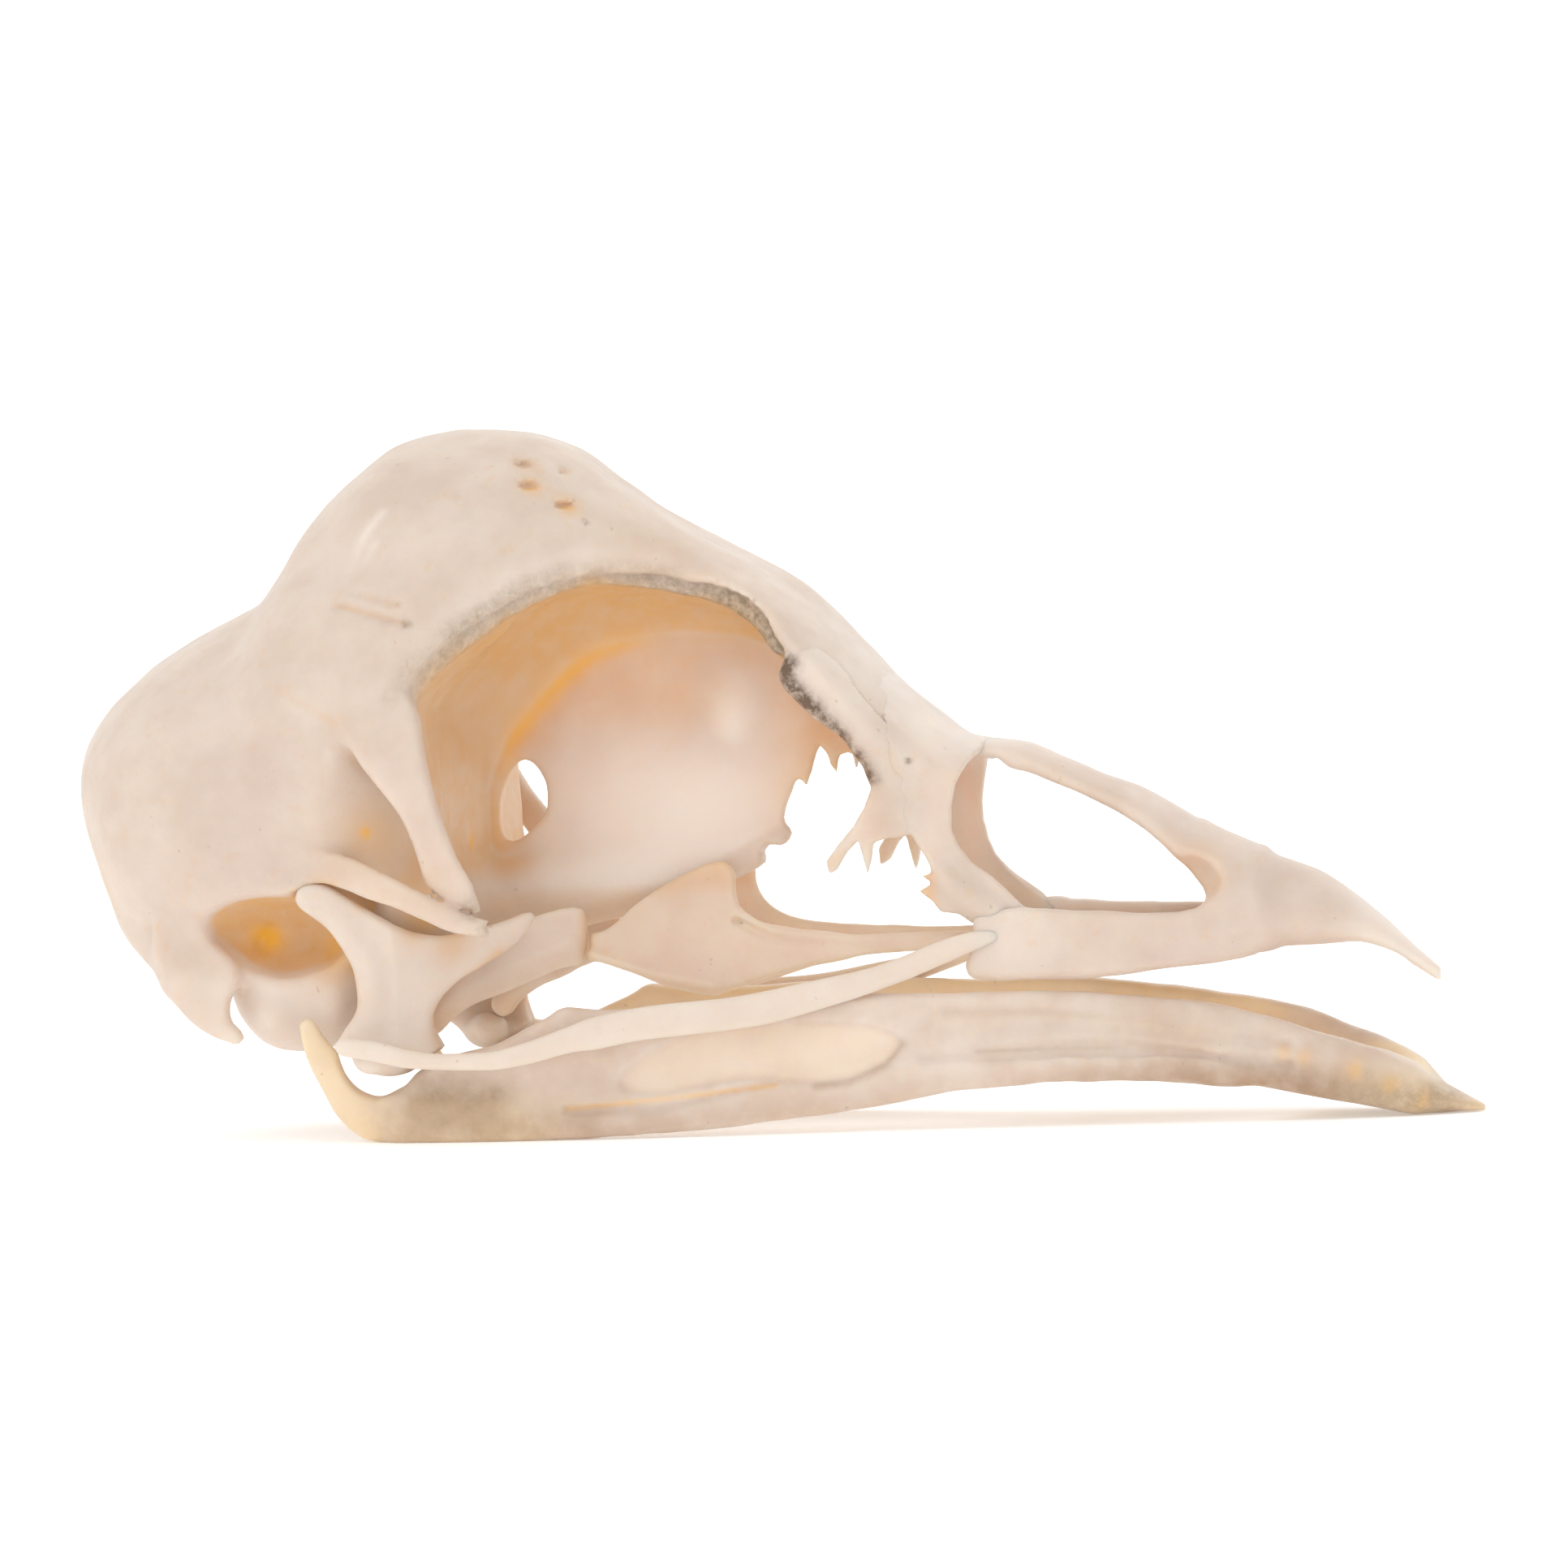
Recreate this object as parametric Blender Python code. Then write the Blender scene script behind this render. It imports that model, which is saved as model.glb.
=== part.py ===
"""A life-size chicken skull that rests on its lower jaw. The beak points along +X and +Z is up.

The braincase, the orbits' roof and the wall between the orbits are modelled as one loft, which is
hollowed, carved and parted by thin cuts. Every other bone is a loft, a rod or a plate of its own.
Lengths are in millimetres until a mesh is made. The bird's right side lies towards -Y.
"""

import bmesh
import bpy
import numpy as np

# Driving dimensions
MM = 0.001
GAP = 0.3
SKULL_REAR_X, SKULL_TOP_Z = -36.2, 36.1
JAW_TIP_X = 36.4
CRANIUM_HALF_WIDTH = 13.2
BEAK_TIP_X = 34.3
SEPTUM_HALF = 0.5
PLATE = 0.8

# Where the cranium is parted
REAR_CUT_X = -24.5
LEVEL_CUT_Z = 17.2
SEPTUM_CUT_X = -14.85
ROOF_REAR_X = SEPTUM_CUT_X + 1.0
FRONTAL_END_X = 6.5
ROOF_CUT = ((SEPTUM_CUT_X, 24.2), (-0.5, 24.2), (8.0, 17.0))
JAW_CUT_X = 27.35
NASAL_FOOT_Z = 11.1
FAR = 60.0

# Cross-sections of the cranium: x, top, bottom, half width, height where it is widest
CRANIUM = (
    (SKULL_REAR_X, 20.0, 17.4, 2.2, 18.8),
    (-35.7, 21.2, 15.6, 5.0, 18.2),
    (-34.4, 22.8, 12.0, 8.2, 17.4),
    (-32.6, 24.3, 9.2, 10.5, 16.6),
    (-30.2, 25.8, 7.6, 12.1, 16.2),
    (-28.0, 26.9, 5.8, 12.8, 16.0),
    (-26.4, 27.6, 4.8, 13.0, 16.0),
    (-25.2, 29.2, 4.3, CRANIUM_HALF_WIDTH, 16.5),
    (-23.4, 31.9, 4.2, CRANIUM_HALF_WIDTH, 17.5),
    (-21.2, 34.0, 4.6, 13.1, 18.5),
    (-18.5, 35.7, 5.8, 12.8, 19.5),
    (-15.5, SKULL_TOP_Z, 7.6, 12.0, 20.8),
    (-13.0, 36.0, 9.2, 10.2, 22.5),
    (-10.5, 35.3, 10.5, 8.6, 24.8),
    (-8.0, 33.6, 11.4, 7.0, 26.8),
    (-5.5, 31.7, 12.4, 6.1, 27.4),
    (-3.0, 30.3, 13.6, 5.8, 27.3),
    (-0.5, 28.9, 14.6, 5.7, 26.6),
    (1.0, 28.0, 15.8, 5.8, 25.8),
    (2.2, 27.0, 17.4, 5.9, 24.8),
    (3.2, 26.0, 18.8, 5.8, 24.1),
    (4.5, 24.7, 19.6, 5.6, 22.9),
    (FRONTAL_END_X, 22.5, 19.2, 5.1, 20.9),
)

# The orbit's outline beside the septum and at its rim, as (x, z), and how it opens between them
ORBIT_INNER = (
    (-12.2, 19.0), (-11.6, 22.0), (-10.0, 24.2), (-7.0, 25.2), (-3.5, 25.3), (0.0, 24.7), (3.5, 22.4),
    (7.0, 19.2), (9.5, 16.0), (9.5, 2.0), (-14.2, 2.0), (-14.2, 8.0), (-13.4, 12.5), (-12.6, 15.5),
)
ORBIT_RIM = (
    (-15.9, 19.5), (-15.1, 22.8), (-12.8, 25.8), (-9.5, 27.3), (-6.0, 27.6), (-2.5, 27.1), (1.0, 25.6),
    (5.0, 21.5), (9.5, 16.5), (9.5, 2.0), (-15.5, 2.0), (-15.5, 8.0), (-15.5, 12.0), (-15.8, 16.0),
)
ORBIT_OPENING = (
    (SEPTUM_HALF, 0.0), (1.5, 0.45), (3.0, 0.7), (5.0, 0.85), (7.5, 0.95), (10.0, 1.0), (18.0, 1.12),
)

# Upper beak: x, top, bottom, half width, height where it is widest
BEAK_FRONT = (
    (22.3, 14.7, 7.8, 4.3, 9.5), (24.0, 13.8, 8.0, 3.9, 9.6), (26.0, 13.1, 8.3, 3.4, 9.7),
    (28.0, 12.3, 8.5, 2.8, 9.7), (30.0, 11.1, 8.5, 2.1, 9.4), (31.5, 9.9, 8.2, 1.5, 8.9),
    (33.0, 8.4, 7.5, 0.9, 8.0), (BEAK_TIP_X, 7.2, 6.7, 0.3, 6.95),
)
BEAK_BRIDGE = (
    (10.9, 19.5, 18.5, 1.9, 18.9), (13.0, 19.3, 17.8, 1.9, 18.6), (15.0, 18.5, 16.8, 2.0, 17.6),
    (17.0, 17.6, 15.9, 2.2, 16.7), (19.0, 16.8, 14.6, 2.7, 15.6), (21.0, 15.6, 12.8, 3.4, 14.1),
    (23.0, 14.2, 10.8, 3.8, 12.4), (25.0, 13.2, 9.8, 3.4, 11.2),
)
BEAK_PALATE = ((16.0, 8.8, 7.9, 4.4, 8.35), (20.0, 8.8, 7.9, 4.2, 8.35), (24.0, 9.2, 8.2, 3.4, 8.7))

# Tip of the lower jaw, where both sides are grown together
JAW_TIP = (
    (JAW_CUT_X + GAP / 2, 5.2, 1.1, 4.7, 3.3), (29.5, 4.35, 0.6, 4.1, 2.7), (32.0, 2.8, 0.1, 3.1, 1.6),
    (34.0, 1.5, 0.0, 2.1, 0.8), (35.6, 0.7, 0.0, 1.0, 0.4), (JAW_TIP_X, 0.4, 0.0, 0.3, 0.25),
)


def pchip(knots, values, at):
    """Smooth values between knots that never swing past them."""
    knots, values = np.asarray(knots, float), np.asarray(values, float)
    step = np.diff(knots)
    slope = np.diff(values) / step
    tangent = np.empty_like(values)
    tangent[0], tangent[-1] = slope[0], slope[-1]
    before, after = slope[:-1], slope[1:]
    same_way = before * after > 0
    total = np.where(same_way, before + after, 1.0)
    tangent[1:-1] = np.where(same_way, 2 * before * after / total, 0.0)
    span = np.clip(np.searchsorted(knots, at, side="right") - 1, 0, len(step) - 1)
    t = (at - knots[span]) / step[span]
    width = step[span]
    return (
        (1 + 2 * t) * (1 - t) ** 2 * values[span]
        + t * (1 - t) ** 2 * width * tangent[span]
        + t * t * (3 - 2 * t) * values[span + 1]
        - t * t * (1 - t) * width * tangent[span + 1]
    )


def smooth_rows(rows, count):
    """Rows of numbers read at even distances along a smooth curve through the rows' first three."""
    rows = np.asarray(rows, float)
    steps = np.linalg.norm(np.diff(rows[:, :3], axis=0), axis=1)
    knots = np.concatenate([[0.0], np.cumsum(steps)])
    at = np.linspace(0.0, knots[-1], count)
    return np.stack([pchip(knots, column, at) for column in rows.T], axis=1)


def mesh_object(name, points, faces):
    mesh = bpy.data.meshes.new(name)
    mesh.from_pydata((np.asarray(points, float) * MM).tolist(), [], faces)
    shape = bmesh.new()
    shape.from_mesh(mesh)
    bmesh.ops.recalc_face_normals(shape, faces=shape.faces)
    shape.to_mesh(mesh)
    shape.free()
    made = bpy.data.objects.new(name, mesh)
    PARTS.objects.link(made)
    return made


def loft(name, rings):
    """A closed skin over rings of equally many points, with a flat cap on each end."""
    rings = np.asarray(rings, float)
    count, around = rings.shape[:2]
    here = np.arange(around)
    there = np.roll(here, -1)
    faces = [list(map(int, here[::-1]))]
    for ring in range(count - 1):
        low, high = ring * around, (ring + 1) * around
        sides = np.stack([low + here, low + there, high + there, high + here], axis=1)
        faces.extend(sides.tolist())
    faces.append(list(map(int, (count - 1) * around + here)))
    return mesh_object(name, rings.reshape(-1, 3), faces)


def oval_loft(name, table, stations, around):
    """A loft along X over ovals, from rows of x, top, bottom, half width and widest height."""
    table = np.asarray(table, float)
    xs = np.linspace(table[0, 0], table[-1, 0], stations)
    top, bottom, half, level = (pchip(table[:, 0], column, xs) for column in table.T[1:])
    turn = np.linspace(0.0, 2 * np.pi, around, endpoint=False) + np.pi / around
    rise = np.where(np.sin(turn) > 0, (top - level)[:, None], (level - bottom)[:, None])
    across = half[:, None] * np.cos(turn)
    height = level[:, None] + rise * np.sin(turn)
    along = np.repeat(xs[:, None], around, axis=1)
    return loft(name, np.stack([along, across, height], axis=2))


def rod(name, rows, side=(0.0, 1.0, 0.0), rings=14, around=10):
    """An oval rod. Rows are x, y, z, the breadth across side, and the thickness along side."""
    rows = smooth_rows(rows, rings)
    path, breadth, thick = rows[:, :3], rows[:, 3:4], rows[:, 4:5]
    ahead = np.gradient(path, axis=0)
    ahead /= np.linalg.norm(ahead, axis=1, keepdims=True)
    side = np.asarray(side, float) - ahead * (ahead @ np.asarray(side, float))[:, None]
    side /= np.linalg.norm(side, axis=1, keepdims=True)
    up = np.cross(ahead, side)
    turn = np.linspace(0.0, 2 * np.pi, around, endpoint=False)
    reach = up[:, None] * (breadth * np.cos(turn))[:, :, None] / 2
    reach = reach + side[:, None] * (thick * np.sin(turn))[:, :, None] / 2
    return loft(name, path[:, None] + reach)


def plate(name, outline, y, y_by_x=0.0, y_by_z=0.0, thickness=PLATE):
    """A flat plate with its outline given as (x, z), lying on the plane y + y_by_x x + y_by_z z."""
    outline = np.asarray(outline, float)
    middle = y + y_by_x * outline[:, 0] + y_by_z * outline[:, 1]
    faces = [
        np.stack([outline[:, 0], middle + side * thickness / 2, outline[:, 1]], axis=1)
        for side in (-1, 1)
    ]
    return loft(name, faces)


def ball(name, centre, radii, segments=20):
    mesh = bpy.data.meshes.new(name)
    shape = bmesh.new()
    bmesh.ops.create_uvsphere(shape, u_segments=segments, v_segments=segments // 2, radius=1.0)
    bmesh.ops.scale(shape, vec=[r * MM for r in radii], verts=shape.verts)
    bmesh.ops.translate(shape, vec=[c * MM for c in centre], verts=shape.verts)
    shape.to_mesh(mesh)
    shape.free()
    made = bpy.data.objects.new(name, mesh)
    PARTS.objects.link(made)
    return made


def block(name, low, high):
    """A box between two corners."""
    mesh = bpy.data.meshes.new(name)
    shape = bmesh.new()
    bmesh.ops.create_cube(shape, size=1.0)
    low, high = np.asarray(low, float), np.asarray(high, float)
    bmesh.ops.scale(shape, vec=((high - low) * MM).tolist(), verts=shape.verts)
    bmesh.ops.translate(shape, vec=((high + low) / 2 * MM).tolist(), verts=shape.verts)
    shape.to_mesh(mesh)
    shape.free()
    made = bpy.data.objects.new(name, mesh)
    PARTS.objects.link(made)
    return made


def apply_modifiers(target):
    bpy.context.view_layer.update()
    graph = bpy.context.evaluated_depsgraph_get()
    mesh = bpy.data.meshes.new_from_object(target.evaluated_get(graph))
    target.modifiers.clear()
    target.data = mesh


def largest_surface(target):
    """Drops every closed surface of a mesh but the one that holds the most volume."""
    shape = bmesh.new()
    shape.from_mesh(target.data)
    bmesh.ops.remove_doubles(shape, verts=shape.verts, dist=1e-7)
    left, islands = set(shape.faces), []
    while left:
        queue = [left.pop()]
        island = []
        while queue:
            face = queue.pop()
            island.append(face)
            for edge in face.edges:
                for other in edge.link_faces:
                    if other in left:
                        left.remove(other)
                        queue.append(other)
        islands.append(island)
    if len(islands) > 1:
        def volume(island):
            total = 0.0
            for face in island:
                first = face.verts[0].co
                for a, b in zip(face.verts[1:-1], face.verts[2:]):
                    total += first.dot(a.co.cross(b.co))
            return total
        islands.sort(key=volume)
        dropped = [face for island in islands[:-1] for face in island]
        bmesh.ops.delete(shape, geom=dropped, context="FACES")
    shape.to_mesh(target.data)
    shape.free()


def boolean(target, tools, operation, solver="EXACT"):
    """One Boolean of a target and a collection of closed meshes, applied, with the tools removed."""
    group = bpy.data.collections.new(target.name + "_tools")
    for tool in tools:
        group.objects.link(tool)
    modifier = target.modifiers.new("boolean", "BOOLEAN")
    modifier.operation = operation
    modifier.operand_type = "COLLECTION"
    modifier.collection = group
    modifier.solver = solver
    apply_modifiers(target)
    for tool in tools:
        bpy.data.objects.remove(tool)
    bpy.data.collections.remove(group)
    largest_surface(target)
    return target


def copy_of(source, name, mirrored=False):
    """A copy of an object, or its mirror image across the skull's middle plane."""
    mesh = source.data.copy()
    made = bpy.data.objects.new(name, mesh)
    PARTS.objects.link(made)
    if mirrored:
        shape = bmesh.new()
        shape.from_mesh(mesh)
        bmesh.ops.scale(shape, vec=(1.0, -1.0, 1.0), verts=shape.verts)
        bmesh.ops.reverse_faces(shape, faces=shape.faces)
        shape.to_mesh(mesh)
        shape.free()
    return made


def both_sides(right):
    """The right bone and its mirror image, as a pair."""
    base = right.name
    right.name = base + "_right"
    return right, copy_of(right, base + "_left", mirrored=True)


def mirrored_pair(piece):
    return [piece, copy_of(piece, piece.name + "_mirrored", mirrored=True)]


def orbit_cutter():
    """The eye's space on the right: an outline that opens quickly from the septum out to the rim."""
    inner, rim = np.asarray(ORBIT_INNER), np.asarray(ORBIT_RIM)
    rings = []
    for out, share in ORBIT_OPENING:
        outline = inner + (rim - inner) * share
        rings.append(np.stack([outline[:, 0], np.full(len(outline), -out), outline[:, 1]], axis=1))
    return loft("orbit", rings)


def brain_space():
    """The brain's hollow, which shows through the round hole at the back of the skull, with that hole."""
    hollow = ball("brain_space", (-28.6, 0.0, 15.6), (5.6, 8.2, 7.0), 16)
    front = ball("brain_front", (-21.2, 0.0, 21.6), (5.4, 8.6, 8.6), 16)
    way = rod("spinal_way", ((-42.0, 0.0, 12.9, 6.8, 7.2), (-29.0, 0.0, 14.1, 6.8, 7.2)), rings=3, around=12)
    return boolean(hollow, [front, way], "UNION")


def cranium():
    """The skull box with its orbits, ear hollows, the hole through the septum and that for the spine."""
    whole = oval_loft("cranium", CRANIUM, 36, 30)
    tools = mirrored_pair(orbit_cutter())
    tools += mirrored_pair(ball("ear", (-23.6, -13.0, 9.4), (4.0, 4.8, 3.2)))
    tools += mirrored_pair(ball("temple", (-18.6, -15.2, 16.8), (3.0, 3.6, 3.9)))
    tools += mirrored_pair(ball("quadrate_socket", (-20.2, -12.2, 11.3), (2.9, 3.0, 3.2), 16))
    hole = ball("septum_hole", (-13.3, 0.0, 16.9), (1.15, 6.0, 2.05), 16)
    boolean(whole, tools + [hole], "DIFFERENCE")
    return boolean(whole, [brain_space()], "DIFFERENCE")


def cranium_share(whole, name, boxes, tools=()):
    """What is left of the cranium once the boxes and the other tools are cut away."""
    share = copy_of(whole, name)
    blocks = [block(f"{name}_cut_{i}", low, high) for i, (low, high) in enumerate(boxes)]
    return boolean(share, blocks + list(tools), "DIFFERENCE")


def roof_side(name, side):
    """The space under the roof's cut for side +1, or over it for side -1, as far as half a gap."""
    line = [(x, z + side * GAP / 2) for x, z in ROOF_CUT]
    rear = (ROOF_CUT[0][0] - side * GAP / 2, line[0][1])
    ends = [(line[-1][0], -side * FAR), (rear[0], -side * FAR)]
    return plate(name, [rear] + line[1:] + ends, 0.0, thickness=2 * FAR)


def parted_cranium():
    whole = cranium()
    half = GAP / 2
    behind = ((-FAR, -FAR, -FAR), (REAR_CUT_X + half, FAR, FAR))
    ahead = ((REAR_CUT_X - half, -FAR, -FAR), (FAR, FAR, FAR))
    occiput = cranium_share(whole, "occiput", [ahead])
    frontal = cranium_share(whole, "frontal", [
        behind,
        ((-FAR, -FAR, -FAR), (ROOF_REAR_X, FAR, LEVEL_CUT_Z + half)),
    ], [roof_side("under_roof", 1)])
    base = cranium_share(whole, "braincase_base", [
        behind,
        ((-FAR, -FAR, LEVEL_CUT_Z - half), (FAR, FAR, FAR)),
        ((SEPTUM_CUT_X - half, -FAR, -FAR), (FAR, FAR, FAR)),
    ])
    septum = cranium_share(whole, "interorbital_septum", [
        ((-FAR, -FAR, -FAR), (SEPTUM_CUT_X + half, FAR, FAR)),
    ], [roof_side("over_roof", -1)])
    bpy.data.objects.remove(whole)
    return occiput, frontal, base, septum


def occiput_with_processes(occiput):
    hook = rod("hook", (
        (-29.4, -9.2, 10.6, 4.6, 1.6), (-28.6, -9.6, 8.4, 3.0, 1.3), (-27.7, -9.4, 6.8, 2.1, 1.0),
        (-27.0, -9.2, 5.7, 1.3, 0.8), (-26.5, -9.0, 5.2, 0.5, 0.5),
    ))
    condyle = ball("condyle", (-32.2, 0.0, 8.9), (1.3, 1.3, 1.0), 10)
    return boolean(occiput, mirrored_pair(hook) + [condyle], "UNION")


def frontal_with_processes(frontal):
    postorbital = rod("postorbital", (
        (-18.0, -11.4, 22.6, 5.0, 1.6), (-17.4, -12.5, 20.5, 3.4, 1.4), (-16.6, -13.0, 18.8, 2.5, 1.2),
        (-15.8, -13.2, 17.0, 2.1, 1.0), (-14.5, -13.0, 14.6, 2.2, 0.9), (-13.5, -12.7, 12.9, 1.6, 0.8),
        (-12.6, -12.4, 11.7, 0.4, 0.5),
    ), rings=16)
    return boolean(frontal, mirrored_pair(postorbital), "UNION")


def base_with_processes(base):
    zygomatic = rod("zygomatic", (
        (-21.6, -11.9, 15.0, 3.6, 1.6), (-20.0, -12.9, 14.3, 2.2, 1.2), (-18.1, -13.3, 13.3, 1.4, 0.9),
        (-16.0, -13.2, 12.4, 1.2, 0.8), (-14.3, -12.9, 11.4, 0.9, 0.7), (-12.2, -12.4, 10.5, 0.4, 0.5),
    ))
    return boolean(base, mirrored_pair(zygomatic), "UNION")


def septum_with_keel(septum):
    """The rostrum that thickens the septum's lower edge, and the broken spikes at its front."""
    keel = rod("keel", (
        (-14.0, 0.0, 10.5, 2.4, 3.6), (-11.0, 0.0, 12.0, 2.0, 2.2), (-6.0, 0.0, 13.1, 1.8, 1.6),
        (-2.0, 0.0, 14.4, 1.2, 1.2), (0.6, 0.0, 15.4, 0.6, 0.8),
    ), rings=10)
    spikes = [
        rod(f"spike_{i}", ((x - 2.6, 0.0, z + 0.8, 1.6, 0.8), (x, 0.0, z, 0.4, 0.5)), rings=3, around=8)
        for i, (x, z) in enumerate(((2.6, 18.4), (1.1, 14.6), (-1.0, 13.1)))
    ]
    return boolean(septum, [keel] + spikes, "UNION")


def upper_beak():
    """The bridge over the nostrils, the bars below them, the palate and the solid hooked tip."""
    front = oval_loft("upper_beak", BEAK_FRONT, 16, 20)
    bar = rod("bar", (
        (10.5, -5.1, 9.2, 3.1, 1.3), (13.0, -5.2, 9.15, 3.2, 1.4), (17.0, -4.9, 9.05, 3.0, 1.4),
        (21.0, -4.2, 9.1, 2.8, 1.4), (23.8, -3.2, 9.5, 3.2, 1.4),
    ))
    pieces = [oval_loft("bridge", BEAK_BRIDGE, 14, 16), oval_loft("palate", BEAK_PALATE, 6, 14)]
    return boolean(front, pieces + mirrored_pair(bar), "UNION")


def nasal():
    """A strip over the beak's root that turns down behind the nostril and stands on the bar below."""
    strip = rod("nasal", (
        (8.7, -0.35, 20.3, 0.9, 3.6), (8.65, -2.2, 19.6, 0.9, 3.6), (8.2, -3.7, 17.8, 0.9, 3.9),
        (8.8, -4.4, 15.2, 0.9, 2.4), (9.6, -4.8, 13.0, 0.9, 2.1), (10.7, -5.1, 11.5, 0.8, 2.8),
        (11.4, -5.2, 10.4, 0.8, 3.2),
    ), side=(1.0, 0.0, -0.5), rings=18, around=12)
    return boolean(strip, [block("foot", (-FAR, -FAR, -FAR), (FAR, FAR, NASAL_FOOT_Z))], "DIFFERENCE")


def lacrimal():
    """The plate at the orbit's front, with the two spikes that hang from it."""
    return plate("lacrimal", (
        (2.2, 24.4), (1.8, 23.0), (2.4, 22.1), (4.3, 20.3), (6.1, 18.0), (6.0, 16.5), (5.2, 15.3),
        (4.1, 14.3), (4.1, 13.1), (4.7, 13.9), (5.8, 14.4), (6.0, 13.0), (6.4, 14.5), (7.3, 14.9),
        (7.3, 17.4), (6.8, 19.8), (5.7, 21.9), (4.0, 24.0),
    ), y=-7.13, y_by_x=0.2, thickness=0.7)


def jugal():
    """The thin cheek bar from the jaw joint to the beak, with its raised flange."""
    return rod("jugal", (
        (-20.4, -12.7, 5.15, 0.6, 0.8), (-18.2, -12.7, 4.6, 0.8, 0.8), (-15.0, -12.6, 4.3, 0.8, 0.8),
        (-11.0, -12.3, 4.7, 0.9, 0.8), (-8.4, -11.8, 5.3, 1.8, 0.8), (-6.6, -11.3, 5.8, 2.0, 0.9),
        (-3.5, -10.5, 6.0, 1.8, 0.9), (0.2, -9.5, 6.4, 1.7, 0.9), (4.0, -8.3, 7.1, 1.6, 0.9),
        (7.4, -7.0, 8.1, 1.2, 0.9), (9.9, -5.9, 9.0, 1.2, 0.9),
    ), rings=24)


def quadrate():
    """The bone between the skull and the jaw, with its ear end, blade and jaw knuckle."""
    body = rod("quadrate", (
        (-21.2, -11.8, 12.7, 1.8, 1.4), (-20.2, -11.5, 11.4, 2.6, 1.8), (-18.5, -10.9, 9.2, 3.3, 2.0),
        (-17.6, -10.6, 7.2, 3.4, 2.2), (-17.9, -10.2, 5.5, 4.0, 2.4), (-18.0, -10.0, 4.5, 3.4, 2.2),
    ), rings=12)
    blade = rod("blade", (
        (-18.0, -10.4, 8.8, 2.8, 1.4), (-15.4, -9.3, 9.5, 1.8, 1.0), (-13.6, -8.0, 10.4, 1.3, 0.8),
        (-12.3, -6.8, 11.3, 0.7, 0.6),
    ), rings=10)
    knuckle = rod("knuckle", (
        (-18.5, -11.6, 4.45, 1.6, 2.4), (-18.2, -9.6, 4.4, 1.9, 3.0), (-17.8, -7.9, 4.7, 1.5, 2.0),
    ), side=(1.0, 0.0, 0.0), rings=8)
    return boolean(body, [blade, knuckle], "UNION")


def pterygoid():
    """The strut from the jaw joint inwards to the keel."""
    return rod("pterygoid", (
        (-17.2, -7.1, 5.4, 1.5, 1.2), (-15.5, -6.4, 7.0, 1.6, 1.0), (-13.0, -4.9, 8.7, 1.9, 1.0),
        (-10.4, -3.0, 9.8, 2.2, 1.0),
    ), rings=10)


def palatine():
    """The leaning plate beside the keel and the long thin strip that it sends to the palate."""
    return plate("palatine", (
        (-9.5, 9.2), (-9.4, 10.6), (-7.7, 11.2), (-6.5, 12.2), (-4.4, 12.9), (-2.9, 12.1), (-2.3, 11.2),
        (-1.2, 10.2), (0.8, 9.6), (5.0, 9.4), (10.8, 9.5), (15.7, 9.1), (15.7, 8.4), (10.8, 8.8),
        (5.0, 8.5), (-0.6, 6.9), (-2.8, 6.9), (-4.8, 7.4), (-6.4, 8.0), (-7.8, 8.8),
    ), y=-6.7, y_by_z=0.36)


def mandible():
    """One side of the lower jaw, from its hooked heel to the fused tip."""
    ramus = rod("mandible", (
        (-19.8, -9.4, 1.6, 2.0, 2.4), (-17.8, -9.8, 1.5, 3.2, 3.4), (-15.0, -9.9, 2.0, 4.2, 2.8),
        (-12.0, -9.9, 2.55, 5.2, 1.9), (-9.8, -9.7, 3.1, 6.25, 1.6), (-6.0, -9.1, 3.35, 6.3, 1.5),
        (-1.0, -8.2, 3.65, 6.2, 1.5), (4.0, -7.2, 4.1, 5.9, 1.5), (9.0, -6.5, 4.45, 5.2, 1.6),
        (14.0, -5.9, 4.65, 4.6, 1.7), (18.0, -5.4, 4.55, 4.3, 1.8), (22.5, -4.8, 4.05, 3.7, 1.9),
        (28.2, -3.5, 2.9, 3.5, 2.0),
    ), rings=30, around=14)
    heel = rod("heel", (
        (-17.0, -9.8, 1.05, 2.3, 2.6), (-19.1, -9.6, 1.1, 2.3, 2.2), (-20.8, -9.3, 2.2, 1.9, 1.5),
        (-22.0, -8.9, 4.0, 1.3, 1.1), (-22.9, -8.7, 6.0, 0.5, 0.5),
    ), rings=12)
    inner_end = rod("inner_end", (
        (-17.6, -9.4, 1.9, 2.6, 2.4), (-17.0, -7.6, 2.2, 1.6, 2.0), (-16.6, -6.4, 2.9, 0.6, 0.9),
    ), side=(1.0, 0.0, 0.0), rings=6, around=8)
    side = boolean(ramus, [heel, inner_end], "UNION")
    under = block("under", (-FAR, -FAR, -FAR), (FAR, FAR, 0.0))
    ahead = block("ahead", (JAW_CUT_X - GAP / 2, -FAR, 0.0), (FAR, FAR, FAR))
    cup = ball("cup", (-18.1, -9.8, 4.5), (2.4, 3.6, 1.4), 14)
    return boolean(side, [under, ahead, cup], "DIFFERENCE")


def mandible_tip():
    """The fused tip of the lower jaw, scooped on top and notched between the two sides."""
    tip = oval_loft("mandible_tip", JAW_TIP, 14, 22)
    scoop = ball("scoop", (26.0, 0.0, 4.6), (6.0, 3.1, 3.8))
    return boolean(tip, [scoop], "DIFFERENCE")


def bone_material(name, colour, roughness):
    material = bpy.data.materials.new(name)
    material.use_nodes = True
    surface = material.node_tree.nodes["Principled BSDF"]
    surface.inputs["Base Color"].default_value = (*colour, 1.0)
    surface.inputs["Roughness"].default_value = roughness
    surface.inputs["Metallic"].default_value = 0.0
    return material


def clear_scene():
    for old in list(bpy.data.objects):
        bpy.data.objects.remove(old)


clear_scene()
PARTS = bpy.data.collections.new("chicken_skull")
bpy.context.scene.collection.children.link(PARTS)

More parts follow.
